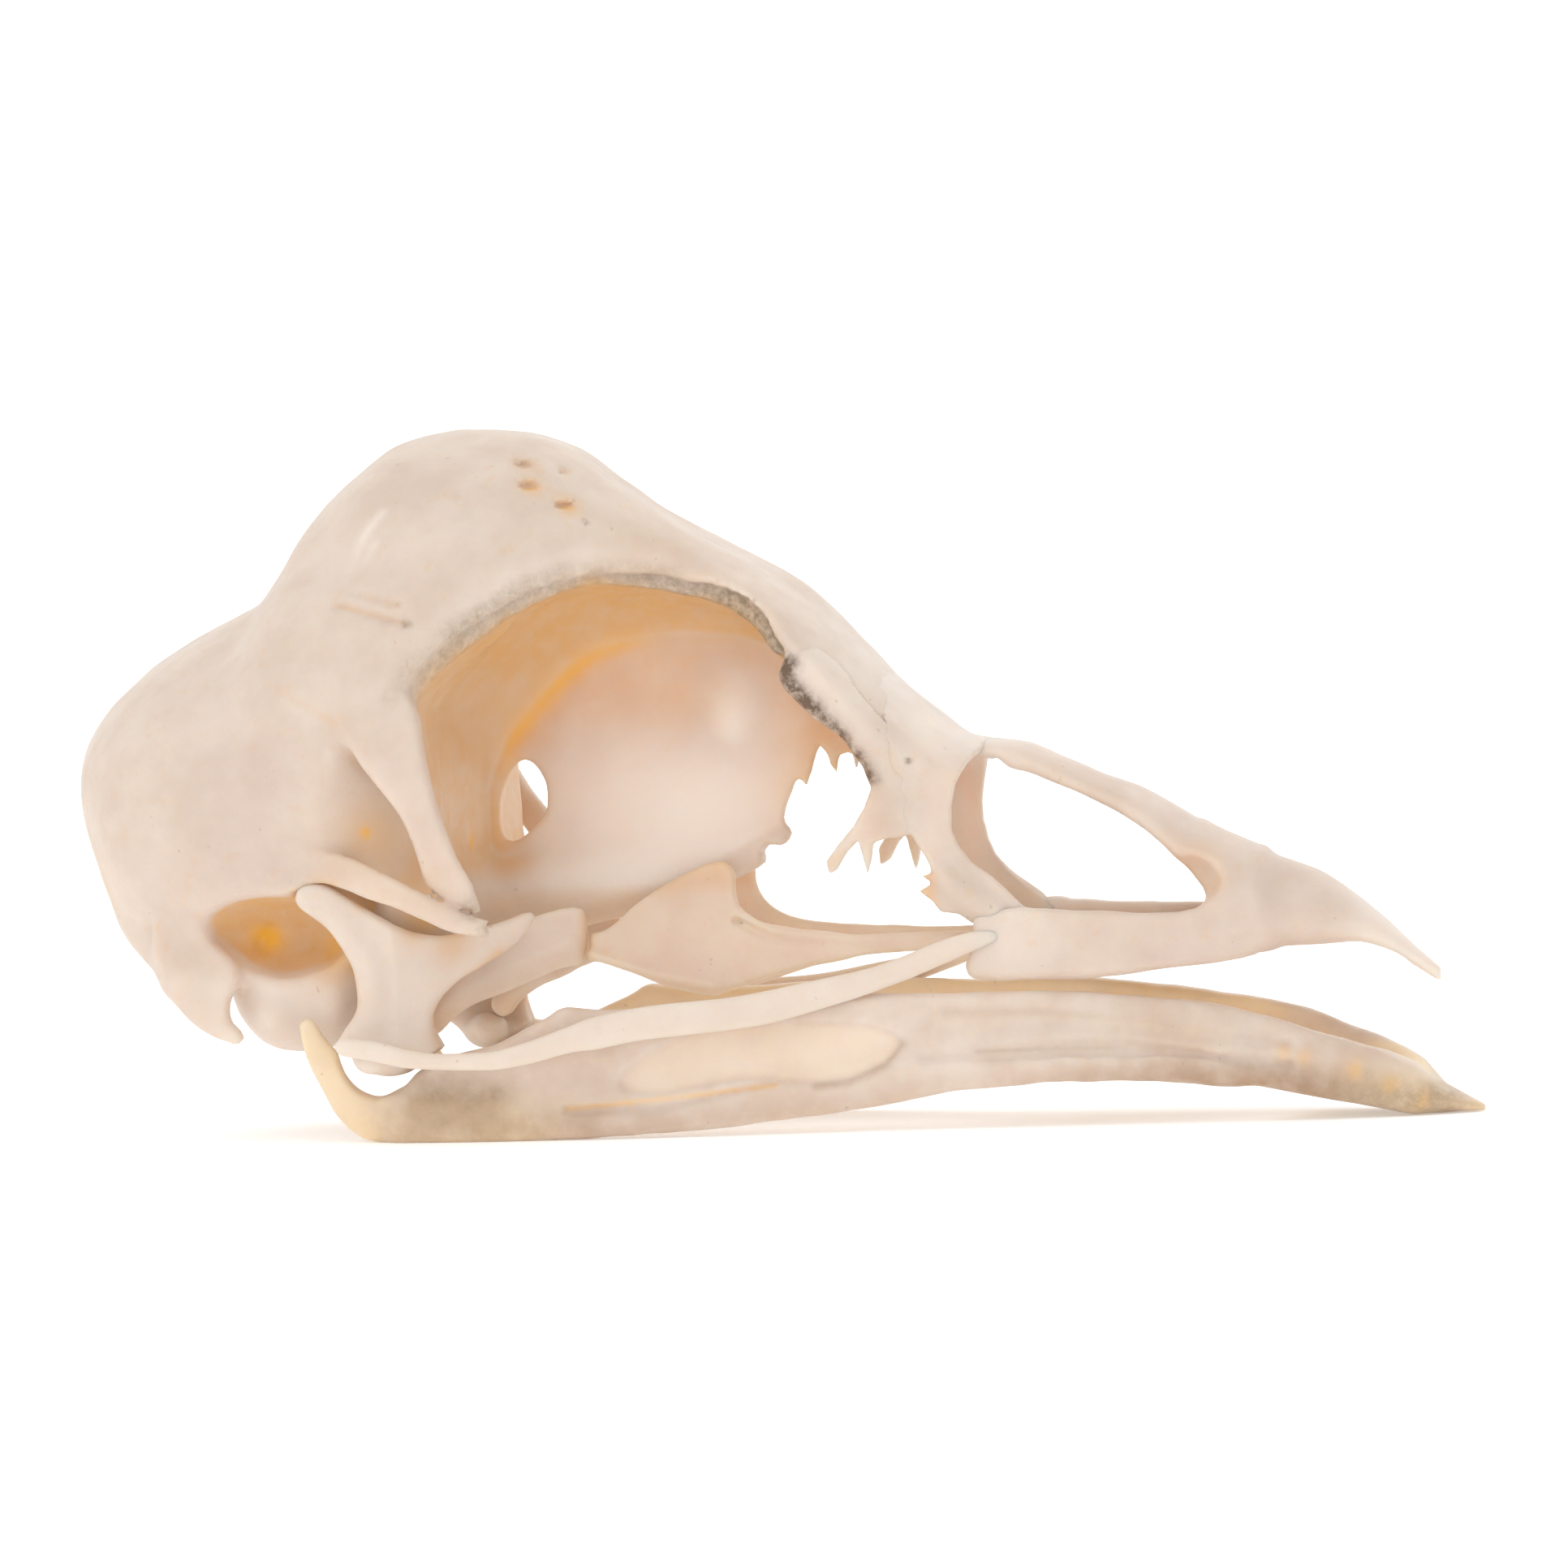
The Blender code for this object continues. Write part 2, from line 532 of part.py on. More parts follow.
ivory = bone_material("ivory_bone", (0.83, 0.72, 0.60), 0.55)
amber = bone_material("thin_bone", (0.85, 0.66, 0.45), 0.5)
waxy = bone_material("jaw_bone", (0.80, 0.66, 0.50), 0.45)

rear, forehead, floor, wall = parted_cranium()
skull_box = [occiput_with_processes(rear), frontal_with_processes(forehead), base_with_processes(floor)]
thin_bones = [septum_with_keel(wall), *both_sides(lacrimal()), *both_sides(palatine())]
beak = [upper_beak(), *both_sides(nasal())]
struts = [*both_sides(jugal()), *both_sides(quadrate()), *both_sides(pterygoid())]
jaw = [*both_sides(mandible()), mandible_tip()]

for bones, finish in ((skull_box, ivory), (thin_bones, amber), (beak, ivory), (struts, ivory), (jaw, waxy)):
    for bone in bones:
        bone.data.materials.clear()
        bone.data.materials.append(finish)
        bone.data.shade_smooth()
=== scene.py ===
"""A dry hen's skull with its lower jaw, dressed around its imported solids.

Lengths are in millimetres until a mesh is made. The beak points along +X, the bird's right side
lies towards -Y and +Z is up. Most bones branch, or are pierced, so they can't be one function of
two parameters. Each of these is worked out with numpy as a formula for the distance to its
surface, on a cubic lattice, and the surface at distance zero becomes the mesh. The cheek bars are
profiles carried along a path.
"""

import math

import bpy
import numpy as np
from mathutils import Matrix, Vector


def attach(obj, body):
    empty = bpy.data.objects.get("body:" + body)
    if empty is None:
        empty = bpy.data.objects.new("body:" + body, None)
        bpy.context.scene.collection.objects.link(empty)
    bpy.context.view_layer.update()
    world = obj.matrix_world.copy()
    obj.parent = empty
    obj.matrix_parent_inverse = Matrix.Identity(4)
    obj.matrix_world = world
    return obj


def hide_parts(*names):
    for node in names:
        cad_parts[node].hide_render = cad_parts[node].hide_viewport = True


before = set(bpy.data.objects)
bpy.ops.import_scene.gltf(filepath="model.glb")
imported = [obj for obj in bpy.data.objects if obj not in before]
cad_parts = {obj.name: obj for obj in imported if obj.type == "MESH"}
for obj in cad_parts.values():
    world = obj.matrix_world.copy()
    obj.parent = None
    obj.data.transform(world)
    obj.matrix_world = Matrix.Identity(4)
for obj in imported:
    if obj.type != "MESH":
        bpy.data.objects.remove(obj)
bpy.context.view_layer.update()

MM = 0.001

# A distance that counts as far away, and one that keeps a division from failing
FAR = 9.0
TINY = 1e-6

# How many random values the grain has along each direction before it repeats, and what brings their
# smoothed spread back to about one
GRAIN_REPEAT, GRAIN_GAIN = 32, 2.9

# How far the bones of the face and the roof reach past the seams between them
OVERLAP = 0.12

# The lattice's spacing for each kind of bone
CRANIUM_CELL, BEAK_CELL, JAW_CELL, QUADRATE_CELL, SHEET_CELL = 0.267, 0.19, 0.18, 0.16, 0.15

# Photograph: where the camera stands, how it is rolled, and what it looks at
CAMERA_AZIMUTH, CAMERA_ELEVATION, CAMERA_ROLL = 12.7, 2.0, 1.8
CAMERA_DISTANCE = 0.5
CAMERA_TARGET = (0.0004, 0.0, 0.0174)
FRAME_PIXELS, PIXELS_PER_MM = 1932, 24.0
SENSOR = 36.0

# A lattice cell's corners
CORNERS = [(i, j, k) for i in (0, 1) for j in (0, 1) for k in (0, 1)]

# Keeps a place's x and z, and mirrors it across the skull's middle plane
FLAT = np.array([1.0, 0.0, 1.0])
MIRROR = np.array([1.0, -1.0, 1.0])


# Curves and outlines

def smooth(knots, values, at):
    """Smooth values between knots that never swing past them: cubic pieces with limited slopes."""
    knots, values = np.asarray(knots, float), np.asarray(values, float)
    step = np.diff(knots)
    slope = np.diff(values) / step
    tangent = np.empty_like(values)
    tangent[0], tangent[-1] = slope[0], slope[-1]
    before, after = slope[:-1], slope[1:]
    total = np.where(before * after > 0, before + after, 1.0)
    tangent[1:-1] = np.where(before * after > 0, 2 * before * after / total, 0.0)
    at = np.clip(at, knots[0], knots[-1])
    span = np.clip(np.searchsorted(knots, at, side="right") - 1, 0, len(step) - 1)
    width = step[span]
    t = (at - knots[span]) / width
    return (
        (1 + 2 * t) * (1 - t) ** 2 * values[span]
        + t * (1 - t) ** 2 * width * tangent[span]
        + t * t * (3 - 2 * t) * values[span + 1]
        - t * t * (1 - t) * width * tangent[span + 1]
    )


def smooth_rows(rows, count):
    """Rows of numbers read at even distances along a smooth curve through their first three."""
    rows = np.asarray(rows, float)
    steps = np.linalg.norm(np.diff(rows[:, :3], axis=0), axis=1)
    knots = np.concatenate([[0.0], np.cumsum(steps)])
    at = np.linspace(0.0, knots[-1], count)
    return np.stack([smooth(knots, column, at) for column in rows.T], axis=1)


def rounded(outline, times=2):
    """A closed outline with its corners cut at a quarter and three quarters, so many times."""
    points = np.asarray(outline, float)
    for _ in range(times):
        ahead = np.roll(points, -1, axis=0)
        points = np.stack([0.75 * points + 0.25 * ahead, 0.25 * points + 0.75 * ahead], axis=1).reshape(-1, 2)
    return points


def outline_distance(x, z, outline):
    """Distance in the (x, z) plane to a closed outline, below zero inside it."""
    outline = np.asarray(outline, float)
    nearest = np.full(np.broadcast_shapes(x.shape, z.shape), 1e9)
    inside = np.zeros(nearest.shape, bool)
    for (ax, az), (bx, bz) in zip(outline, np.roll(outline, -1, axis=0)):
        ex, ez = bx - ax, bz - az
        px, pz = x - ax, z - az
        t = np.clip((px * ex + pz * ez) / (ex * ex + ez * ez + TINY ** 2), 0, 1)
        nearest = np.minimum(nearest, (px - t * ex) ** 2 + (pz - t * ez) ** 2)
        level = (az <= z) != (bz <= z)
        if abs(ez) > TINY ** 2:
            inside ^= level & (x < ax + (z - az) * ex / ez)
    return np.where(inside, -1, 1) * np.sqrt(nearest)


def oval_distance(*pairs):
    """Distance to an oval, from a place and a radius along each direction: with r the length of
    place / radius and g the length of place / radius squared, it is r (r - 1) / g."""
    reach = np.sqrt(sum((place / radius) ** 2 for place, radius in pairs)) + TINY
    slope = np.sqrt(sum((place / radius ** 2) ** 2 for place, radius in pairs)) + TINY
    return reach * (reach - 1) / slope


def rounded_corner(over, out, edge):
    """Distance to what lies inside both of two distances that stand square to each other, with its
    corner rounded by edge: the larger of the two inside, and the length of both outside."""
    over, out = over + edge, out + edge
    return (
        np.minimum(np.maximum(over, out), 0)
        + np.sqrt(np.maximum(over, 0) ** 2 + np.maximum(out, 0) ** 2) - edge
    )


def merge(a, b, round_off):
    """The nearer of two distances, with a rounded joint."""
    h = np.clip(0.5 + 0.5 * (b - a) / round_off, 0, 1)
    return b + (a - b) * h - round_off * h * (1 - h)


def shared(a, b, round_off):
    """What is inside both of two distances, with a rounded joint."""
    return -merge(-a, -b, round_off)


def without(a, b, round_off):
    """What is inside the first of two distances and outside the second, with a rounded joint."""
    return -merge(-a, b, round_off)


# Shapes: each gives its box and its distance formula

def body(table):
    """Ovals stacked along X, from rows of x, top, bottom, half width and the height where it is widest."""
    table = np.asarray(table, float)

    def distance(x, y, z):
        top, bottom, half, level = (smooth(table[:, 0], column, x) for column in table.T[1:])
        rise = np.where(z > level, top - level, level - bottom)
        past = np.maximum(table[0, 0] - x, x - table[-1, 0])
        return np.maximum(oval_distance((y, half), (z - level, rise)), past)

    low = (table[0, 0], -table[:, 3].max(), table[:, 2].min())
    high = (table[-1, 0], table[:, 3].max(), table[:, 1].max())
    return low, high, distance


def ball(centre, radii):
    """An ellipsoid."""
    centre, radii = np.asarray(centre, float), np.asarray(radii, float)

    def distance(x, y, z):
        return oval_distance(
            *((place - middle, radius) for place, middle, radius in zip((x, y, z), centre, radii)))

    return centre - radii, centre + radii, distance


def rod(rows, side=(0.0, 1.0, 0.0), pieces=14):
    """An oval rod along a smooth path, taken as short straight pieces: at the nearest place of a piece
    the gap over the breadth and the thickness is a length r, and (r - 1) times the smaller of the two
    is the distance. Rows are x, y, z, its breadth and its thickness along side."""
    rows = smooth_rows(rows, pieces + 1)
    side = np.asarray(side, float)

    def distance(x, y, z):
        nearest = None
        for a, b in zip(rows[:-1], rows[1:]):
            ahead = b[:3] - a[:3]
            length = np.linalg.norm(ahead)
            ahead = ahead / length
            across = side - ahead * (ahead @ side)
            across = across / np.linalg.norm(across)
            u, v, w = x - a[0], y - a[1], z - a[2]
            t = np.clip((u * ahead[0] + v * ahead[1] + w * ahead[2]) / length, 0, 1)
            u = u - ahead[0] * length * t
            v = v - ahead[1] * length * t
            w = w - ahead[2] * length * t
            aside = u * across[0] + v * across[1] + w * across[2]
            rest = u * u + v * v + w * w - aside * aside
            breadth = (a[3] + (b[3] - a[3]) * t) / 2
            thick = (a[4] + (b[4] - a[4]) * t) / 2
            reach = np.sqrt(np.maximum(rest, 0) / breadth ** 2 + (aside / thick) ** 2)
            part = (reach - 1) * np.minimum(breadth, thick)
            nearest = part if nearest is None else np.minimum(nearest, part)
        return nearest

    spread = rows[:, 3:].max() / 2
    return rows[:, :3].min(axis=0) - spread, rows[:, :3].max(axis=0) + spread, distance


def sheet(outline, middle, half, edge=0.25):
    """A plate with an outline in the (x, z) plane: y at its middle and its half thickness are functions
    of x and z, and edge rounds it."""
    outline = np.asarray(outline, float)

    def distance(x, y, z):
        thick = half(x, z) if callable(half) else half
        return rounded_corner(outline_distance(x, z, outline), np.abs(y - middle(x, z)) - thick, edge)

    steps = 20
    xs = np.linspace(outline[:, 0].min(), outline[:, 0].max(), steps)[:, None]
    zs = np.linspace(outline[:, 1].min(), outline[:, 1].max(), steps)[None, :]
    ys = middle(xs, zs) + np.zeros((steps, steps))
    thickest = np.max(half(xs, zs)) if callable(half) else half
    low = (xs.min(), ys.min() - thickest, zs.min())
    high = (xs.max(), ys.max() + thickest, zs.max())
    return low, high, distance


def prism(outline, y_low=-FAR * 9, y_high=FAR * 9):
    """Everything inside an outline in the (x, z) plane, between two values of y."""
    outline = np.asarray(outline, float)

    def distance(x, y, z):
        over = outline_distance(x, z, outline)
        return np.maximum(over, np.maximum(y_low - y, y - y_high))

    low = (outline[:, 0].min(), y_low, outline[:, 1].min())
    high = (outline[:, 0].max(), y_high, outline[:, 1].max())
    return low, high, distance


class Bone:
    """A solid held as distances on a cubic lattice, where below zero is bone. With half=True only
    the bird's right side, y up to 0, is worked out, and the left side is its mirror image."""

    def __init__(self, low, high, cell, half=True):
        self.cell = cell
        if half:
            low = (low[0], -cell * math.ceil(-low[1] / cell), low[2])
            high = (high[0], 0.0, high[2])
        self.axes = [np.arange(a, b + cell / 2, cell) for a, b in zip(low, high)]
        self.field = np.full([len(axis) for axis in self.axes], FAR)

    def block(self, low, high):
        """The part of the lattice inside a box, and its x, y and z."""
        parts = [
            slice(np.searchsorted(axis, a), np.searchsorted(axis, b) + 1)
            for axis, a, b in zip(self.axes, low, high)
        ]
        x, y, z = (axis[part] for axis, part in zip(self.axes, parts))
        return tuple(parts), x[:, None, None], y[None, :, None], z[None, None, :]

    def everywhere(self):
        """The whole lattice's x, y and z."""
        x, y, z = self.axes
        return x[:, None, None], y[None, :, None], z[None, None, :]

    def add(self, shape, joint=0.4):
        """Joins a shape to the bone, with a joint rounded by so much."""
        low, high, distance = shape
        room = joint + 2 * self.cell
        where, x, y, z = self.block(np.asarray(low) - room, np.asarray(high) + room)
        self.field[where] = merge(self.field[where], distance(x, y, z), joint)

    def cut(self, shape, joint=0.3):
        """Takes a shape away, with a rim rounded by so much."""
        low, high, distance = shape
        room = joint + 2 * self.cell
        where, x, y, z = self.block(np.asarray(low) - room, np.asarray(high) + room)
        self.field[where] = without(self.field[where], distance(x, y, z), joint)

    def swell(self, centre, sizes, height):
        """Moves the surface out by a soft bump of that height, or in where it is below zero: the height
        times e to minus the squared gap over the sizes."""
        centre, sizes = np.asarray(centre, float), np.asarray(sizes, float)
        where, *places = self.block(centre - 3 * sizes, centre + 3 * sizes)
        fall = sum(((place - middle) / size) ** 2 for place, middle, size in zip(places, centre, sizes))
        self.field[where] -= height * np.exp(-fall)

    def flip(self):
        """The other side's bone, from this one's."""
        self.field = self.field[:, ::-1]
        self.axes[1] = -self.axes[1][::-1]

    def mirror(self):
        """Both sides, from the right one."""
        self.field = np.concatenate([self.field, self.field[:, -2::-1]], axis=1)
        self.axes[1] = np.concatenate([self.axes[1], -self.axes[1][-2::-1]])

    def grain(self, size, seed):
        """Soft random values of about unit spread and that grain size: a coarse random lattice,
        repeated in every direction, read between its points by cubic splines. Bones that meet share it."""
        rng = np.random.default_rng(seed)
        weights = []
        for axis in self.axes:
            at = axis / size
            first = np.floor(at).astype(int)
            t = at - first
            weight = np.zeros((len(axis), GRAIN_REPEAT))
            rows = np.arange(len(axis))
            splines = (1 - t) ** 3, 3 * t ** 3 - 6 * t ** 2 + 4, -3 * t ** 3 + 3 * t ** 2 + 3 * t + 1, t ** 3
            for step, spline in enumerate(splines):
                weight[rows, (first + step) % GRAIN_REPEAT] = spline / 6
            weights.append(weight)
        values = rng.standard_normal((GRAIN_REPEAT,) * 3)
        for axis, weight in enumerate(weights):
            values = np.moveaxis(np.tensordot(weight, values, (1, axis)), 0, axis)
        return values * GRAIN_GAIN

    def weather(self, extra=0.0):
        """The unevenness that every bone has, a broad grain and a fine one, with more of the fine one
        where extra is above zero."""
        broad, fine = self.grain(2.6, 1), self.grain(0.85, 2)
        self.field += 0.045 * broad + 0.02 * fine * (1 + extra)

    def fullness(self, size):
        """How full of bone the space within about size is, from 0 to 1: one half on a flat surface,
        more in a hollow, less on an edge or a thin sheet."""
        full = np.clip(0.5 - self.field / self.cell, 0, 1)
        for axis, values in enumerate(self.axes):
            gap = (values[:, None] - values[None, :]) / size
            weight = np.exp(-gap ** 2 / 2) * self.cell / (size * math.sqrt(2 * math.pi))
            full = np.moveaxis(np.tensordot(weight, full, (1, axis)), 0, axis)
        return full

    def read(self, values, points):
        """Lattice values at points, in straight lines between the lattice's own."""
        place = [
            np.clip((points[:, i] - axis[0]) / self.cell, 0, len(axis) - 1.001)
            for i, axis in enumerate(self.axes)
        ]
        first = [np.floor(p).astype(int) for p in place]
        shares = [(1 - (p - f), p - f) for p, f in zip(place, first)]
        total = 0.0
        for i, j, k in CORNERS:
            weight = shares[0][i] * shares[1][j] * shares[2][k]
            total = total + weight * values[first[0] + i, first[1] + j, first[2] + k]
        return total

    def skin(self):
        """The surface at distance zero: a point in each lattice cell that it crosses, at the mean of
        its crossings with the cell's edges, and a face across each lattice edge that it crosses."""
        inside = self.field < 0
        cells = np.array(inside.shape) - 1
        count = np.zeros(cells, np.int8)
        for i, j, k in CORNERS:
            count += inside[i:i + cells[0], j:j + cells[1], k:k + cells[2]]
        mixed = (count > 0) & (count < 8)
        cell = np.argwhere(mixed)
        index = np.full(cells, -1, np.int64)
        index[mixed] = np.arange(len(cell))
        total, hits = np.zeros((len(cell), 3)), np.zeros(len(cell))
        for axis in range(3):
            for i in (0, 1):
                for j in (0, 1):
                    start = np.insert([i, j], axis, 0)
                    end = np.insert([i, j], axis, 1)
                    a = self.field[tuple((cell + start).T)]
                    b = self.field[tuple((cell + end).T)]
                    hit = (a < 0) != (b < 0)
                    t = np.where(hit, a / np.where(hit, a - b, 1.0), 0.0)
                    place = start + t[:, None] * (end - start)
                    total += place * hit[:, None]
                    hits += hit
        origin = np.array([axis[0] for axis in self.axes])
        points = origin + (cell + total / hits[:, None]) * self.cell
        faces = []
        for axis in range(3):
            u, v = (axis + 1) % 3, (axis + 2) % 3
            keep = [slice(1, -1)] * 3
            low, high = list(keep), list(keep)
            low[axis], high[axis] = slice(0, -1), slice(1, None)
            low, high = inside[tuple(low)], inside[tuple(high)]
            where = np.argwhere(low != high)
            shift = np.ones(3, int)
            shift[axis] = 0
            where = where + shift
            outward = low[low != high]
            corners = []
            for du, dv in ((0, 0), (1, 0), (1, 1), (0, 1)):
                step = np.zeros(3, int)
                step[u], step[v] = du, dv
                corners.append(index[tuple((where - step).T)])
            quads = np.stack(corners, axis=1)
            quads[~outward] = quads[~outward][:, ::-1]
            faces.append(quads)
        return points, np.concatenate(faces)


def main_part(points, faces):
    """The largest part of a surface, without crumbs and closed bubbles: faces that share an edge with just
    one other face take the lower of their numbers, until none changes, and the commonest number stays."""
    pairs = np.sort(np.stack([faces, np.roll(faces, -1, axis=1)], axis=2).reshape(-1, 2), axis=1)
    key = pairs[:, 0] * len(points) + pairs[:, 1]
    order = np.argsort(key, kind="stable")
    key, owner = key[order], order // 4
    start = np.flatnonzero(np.insert(key[1:] != key[:-1], 0, True))
    start = start[np.diff(np.append(start, len(key))) == 2]
    a, b = owner[start], owner[start + 1]
    number = np.arange(len(faces))
    while True:
        low = np.minimum(number[a], number[b])
        lower = number.copy()
        np.minimum.at(lower, number[a], low)
        np.minimum.at(lower, number[b], low)
        lower = lower[lower]
        if np.array_equal(lower, number):
            break
        number = lower
    faces = faces[number == np.bincount(number).argmax()]
    used, faces = np.unique(faces, return_inverse=True)
    return points[used], faces.reshape(-1, 4)


def mesh_piece(name, points, faces, marks=None):
    """A mesh object from points in millimetres and four-cornered faces, with named values at its points."""
    mesh = bpy.data.meshes.new(name)
    mesh.vertices.add(len(points))
    mesh.vertices.foreach_set("co", (points * MM).astype(np.float32).ravel())
    mesh.loops.add(faces.size)
    mesh.loops.foreach_set("vertex_index", faces.astype(np.int32).ravel())
    mesh.polygons.add(len(faces))
    mesh.polygons.foreach_set("loop_start", np.arange(0, faces.size, 4, dtype=np.int32))
    mesh.update(calc_edges=True)
    mesh.validate()
    mesh.shade_smooth()
    for mark, values in (marks or {}).items():
        layer = mesh.attributes.new(mark, "FLOAT", "POINT")
        layer.data.foreach_set("value", np.asarray(values, np.float32))
    piece = bpy.data.objects.new(name, mesh)
    bpy.context.scene.collection.objects.link(piece)
    return piece


def folded(points):
    """The points with those of the left side laid onto the right one: x, |y| and z."""
    return np.stack([points[:, 0], np.abs(points[:, 1]), points[:, 2]], axis=1)


def spots(points, places):
    """Soft spots on a surface, the strongest at each point: rows of x, |y|, z, size and strength."""
    near = folded(points)
    value = np.zeros(len(points))
    for x, y, z, size, strength in places:
        gap = ((near - np.array([x, y, z])) ** 2).sum(axis=1) / size ** 2
        value = np.maximum(value, strength * np.exp(-gap))
    return value


def trails(points, paths):
    """Soft lines on a surface: each path is its width, its strength and its points as x, |y|, z."""
    near = folded(points)
    value = np.zeros(len(points))
    for width, strength, path in paths:
        path = np.asarray(path, float)
        for a, b in zip(path[:-1], path[1:]):
            along = b - a
            t = np.clip((near - a) @ along / (along @ along), 0, 1)
            gap = ((near - a - t[:, None] * along) ** 2).sum(axis=1) / width ** 2
            value = np.maximum(value, strength * np.exp(-gap))
    return value


def fade(values, none, full):
    """Rises smoothly from 0 at one value to 1 at the other."""
    t = np.clip((values - none) / (full - none), 0, 1)
    return t * t * (3 - 2 * t)


def placed(piece, nodes, material):
    """The piece rides on the root, stands for its solids and has its finish."""
    piece.data.materials.append(material)
    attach(piece, "root")
    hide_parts(*nodes)


def finished(bone, name, nodes, material, marks=None):
    """The bone's mesh with its marks."""
    points, faces = main_part(*bone.skin())
    # The hollow mark, how far each point lies in a hollow, sets painted warm shade in the material
    values = {"hollow": bone.read(bone.fullness(0.7), points)}
    values.update({mark: make(points) for mark, make in (marks or {}).items()})
    placed(mesh_piece(name, points, faces, values), nodes, material)


def both_sides(make, name, material, marks=None, make_left=None):
    """A bone of the bird's right side and its mirror image on the left, each with its own grain."""
    for side in ("right", "left"):
        bone = make_left() if side == "left" and make_left else make()
        if side == "left":
            bone.flip()
        bone.weather()
        finished(bone, f"{name}_bone_{side}", (f"{name}_{side}",), material, marks)


# The cranium

CRANIUM = (
    (-36.2, 20.0, 17.4, 2.2, 18.8), (-35.7, 21.2, 15.6, 5.0, 18.2), (-34.4, 22.8, 12.0, 8.2, 17.4),
    (-32.6, 24.3, 9.4, 10.5, 16.6), (-30.2, 25.8, 8.2, 12.1, 16.2), (-28.0, 26.9, 7.5, 12.8, 16.0),
    (-26.4, 27.7, 6.7, 13.0, 16.0), (-25.2, 29.2, 5.7, 13.2, 16.5), (-23.4, 31.9, 4.8, 13.2, 17.5),
    (-21.2, 34.0, 4.8, 13.1, 18.5), (-18.5, 35.7, 5.8, 12.8, 19.5), (-15.5, 36.1, 7.6, 12.0, 21.5),
    (-13.0, 36.0, 9.2, 10.4, 24.0), (-10.5, 35.3, 10.3, 8.6, 26.8), (-8.0, 33.6, 10.9, 6.9, 28.3),
    (-5.5, 31.7, 11.5, 5.9, 28.5), (-3.0, 30.3, 12.5, 5.7, 28.1), (-0.5, 28.9, 14.0, 5.8, 27.1),
    (1.0, 28.0, 15.0, 6.2, 25.8), (2.2, 27.0, 16.0, 6.4, 24.8), (3.2, 26.0, 17.0, 6.4, 23.7),
    (4.5, 24.7, 18.0, 6.2, 22.0), (6.5, 22.6, 18.2, 5.8, 19.7), (8.5, 21.0, 17.0, 5.25, 18.3),
)
ORBIT_INNER = (
    (-14.3, 19.4), (-13.6, 20.3), (-12.6, 21.4), (-11.6, 22.5), (-9.7, 24.1), (-8.0, 24.8), (-5.0, 25.2),
    (-1.5, 24.9), (1.0, 23.9), (3.5, 22.0), (7.0, 18.6), (9.5, 16.0), (9.5, 2.0), (-14.4, 2.0),
    (-14.4, 8.0), (-14.6, 12.5), (-15.1, 15.5), (-15.0, 17.6),
)
ORBIT_RIM = (
    (-16.0, 19.8), (-16.2, 21.6), (-15.4, 22.9), (-13.8, 24.7), (-11.2, 26.8), (-8.6, 27.9), (-5.2, 27.9),
    (-2.0, 27.2), (0.3, 25.6), (1.9, 23.6), (6.5, 18.5), (9.5, 15.5), (9.5, 2.0), (-15.5, 2.0),
    (-15.5, 8.0), (-15.5, 12.0), (-15.7, 15.0), (-15.9, 17.6),
)
ORBIT_OPENING = (
    (0.0, 0.0), (0.5, 0.0), (1.2, 0.40), (2.4, 0.70), (4.0, 0.90), (5.5, 1.0), (10.0, 1.04), (18.0, 1.12),
)
ORBIT_LEDGE = (
    (-15.6, 17.0), (-16.2, 19.5), (-16.6, 21.8), (-16.1, 23.6), (-14.3, 25.5), (-12.0, 27.1), (-9.9, 28.2),
    (-7.1, 28.6), (-4.3, 28.5), (-1.5, 27.9), (0.4, 26.8), (1.8, 25.2), (2.3, 24.2), (1.7, 23.4), (0.0, 15.0),
    (-12.0, 12.0),
)
SEPTUM_HOLE = (
    (-13.4, 19.1), (-12.7, 18.8), (-12.2, 18.0), (-12.0, 17.0), (-12.2, 16.1), (-13.0, 15.4), (-14.1, 14.7),
    (-14.5, 15.1), (-14.7, 15.9), (-14.6, 17.0), (-14.0, 18.4),
)
BROKEN_FRONT = (
    (4.9, 24.0), (4.6, 21.0), (4.5, 18.6), (4.2, 17.6), (4.0, 18.9), (3.4, 18.7), (3.1, 17.3), (2.7, 18.9),
    (2.3, 19.3), (1.9, 17.9), (1.5, 16.9), (1.2, 17.8), (0.8, 16.9), (0.5, 16.3), (0.3, 15.5), (1.1, 14.6),
    (0.6, 14.2), (-0.5, 14.4), (-0.9, 14.0), (-0.8, 13.4), (-0.5, 12.9), (-1.2, 12.5), (-2.4, 12.5),
    (-3.2, 11.6), (-3.2, 5.0),
    (20.0, 5.0), (20.0, 24.0),
)
POSTORBITAL = (
    (-20.6, 22.6), (-18.9, 19.7), (-17.9, 18.5), (-16.9, 17.2), (-16.3, 16.0), (-15.8, 14.8), (-15.5, 13.2),
    (-14.9, 12.8), (-14.4, 12.3), (-13.6, 12.0), (-12.7, 11.6), (-12.9, 12.5), (-13.1, 13.2), (-13.7, 14.5),
    (-14.3, 16.1), (-14.9, 17.8), (-15.3, 19.6), (-15.6, 22.3), (-18.0, 24.5),
)
ZYGOMATIC = (
    (-22.6, 15.5), (-21.0, 15.1), (-19.4, 14.8), (-18.3, 14.3), (-17.0, 13.65), (-15.7, 12.85),
    (-14.4, 12.05),
    (-13.2, 11.5), (-12.1, 11.3), (-12.6, 10.95), (-11.9, 10.45), (-13.4, 10.6), (-14.4, 10.9), (-15.6, 11.5),
    (-17.0, 12.1), (-18.6, 12.6), (-20.0, 13.1), (-21.2, 13.4), (-22.2, 12.9),
)
TEMPLE = (
    (-19.0, 20.3), (-20.6, 19.0), (-21.4, 17.0), (-21.0, 15.0), (-19.6, 13.9), (-17.4, 12.9), (-13.5, 10.5),
    (-12.5, 13.0), (-15.2, 18.5), (-16.0, 21.0), (-17.8, 21.0),
)
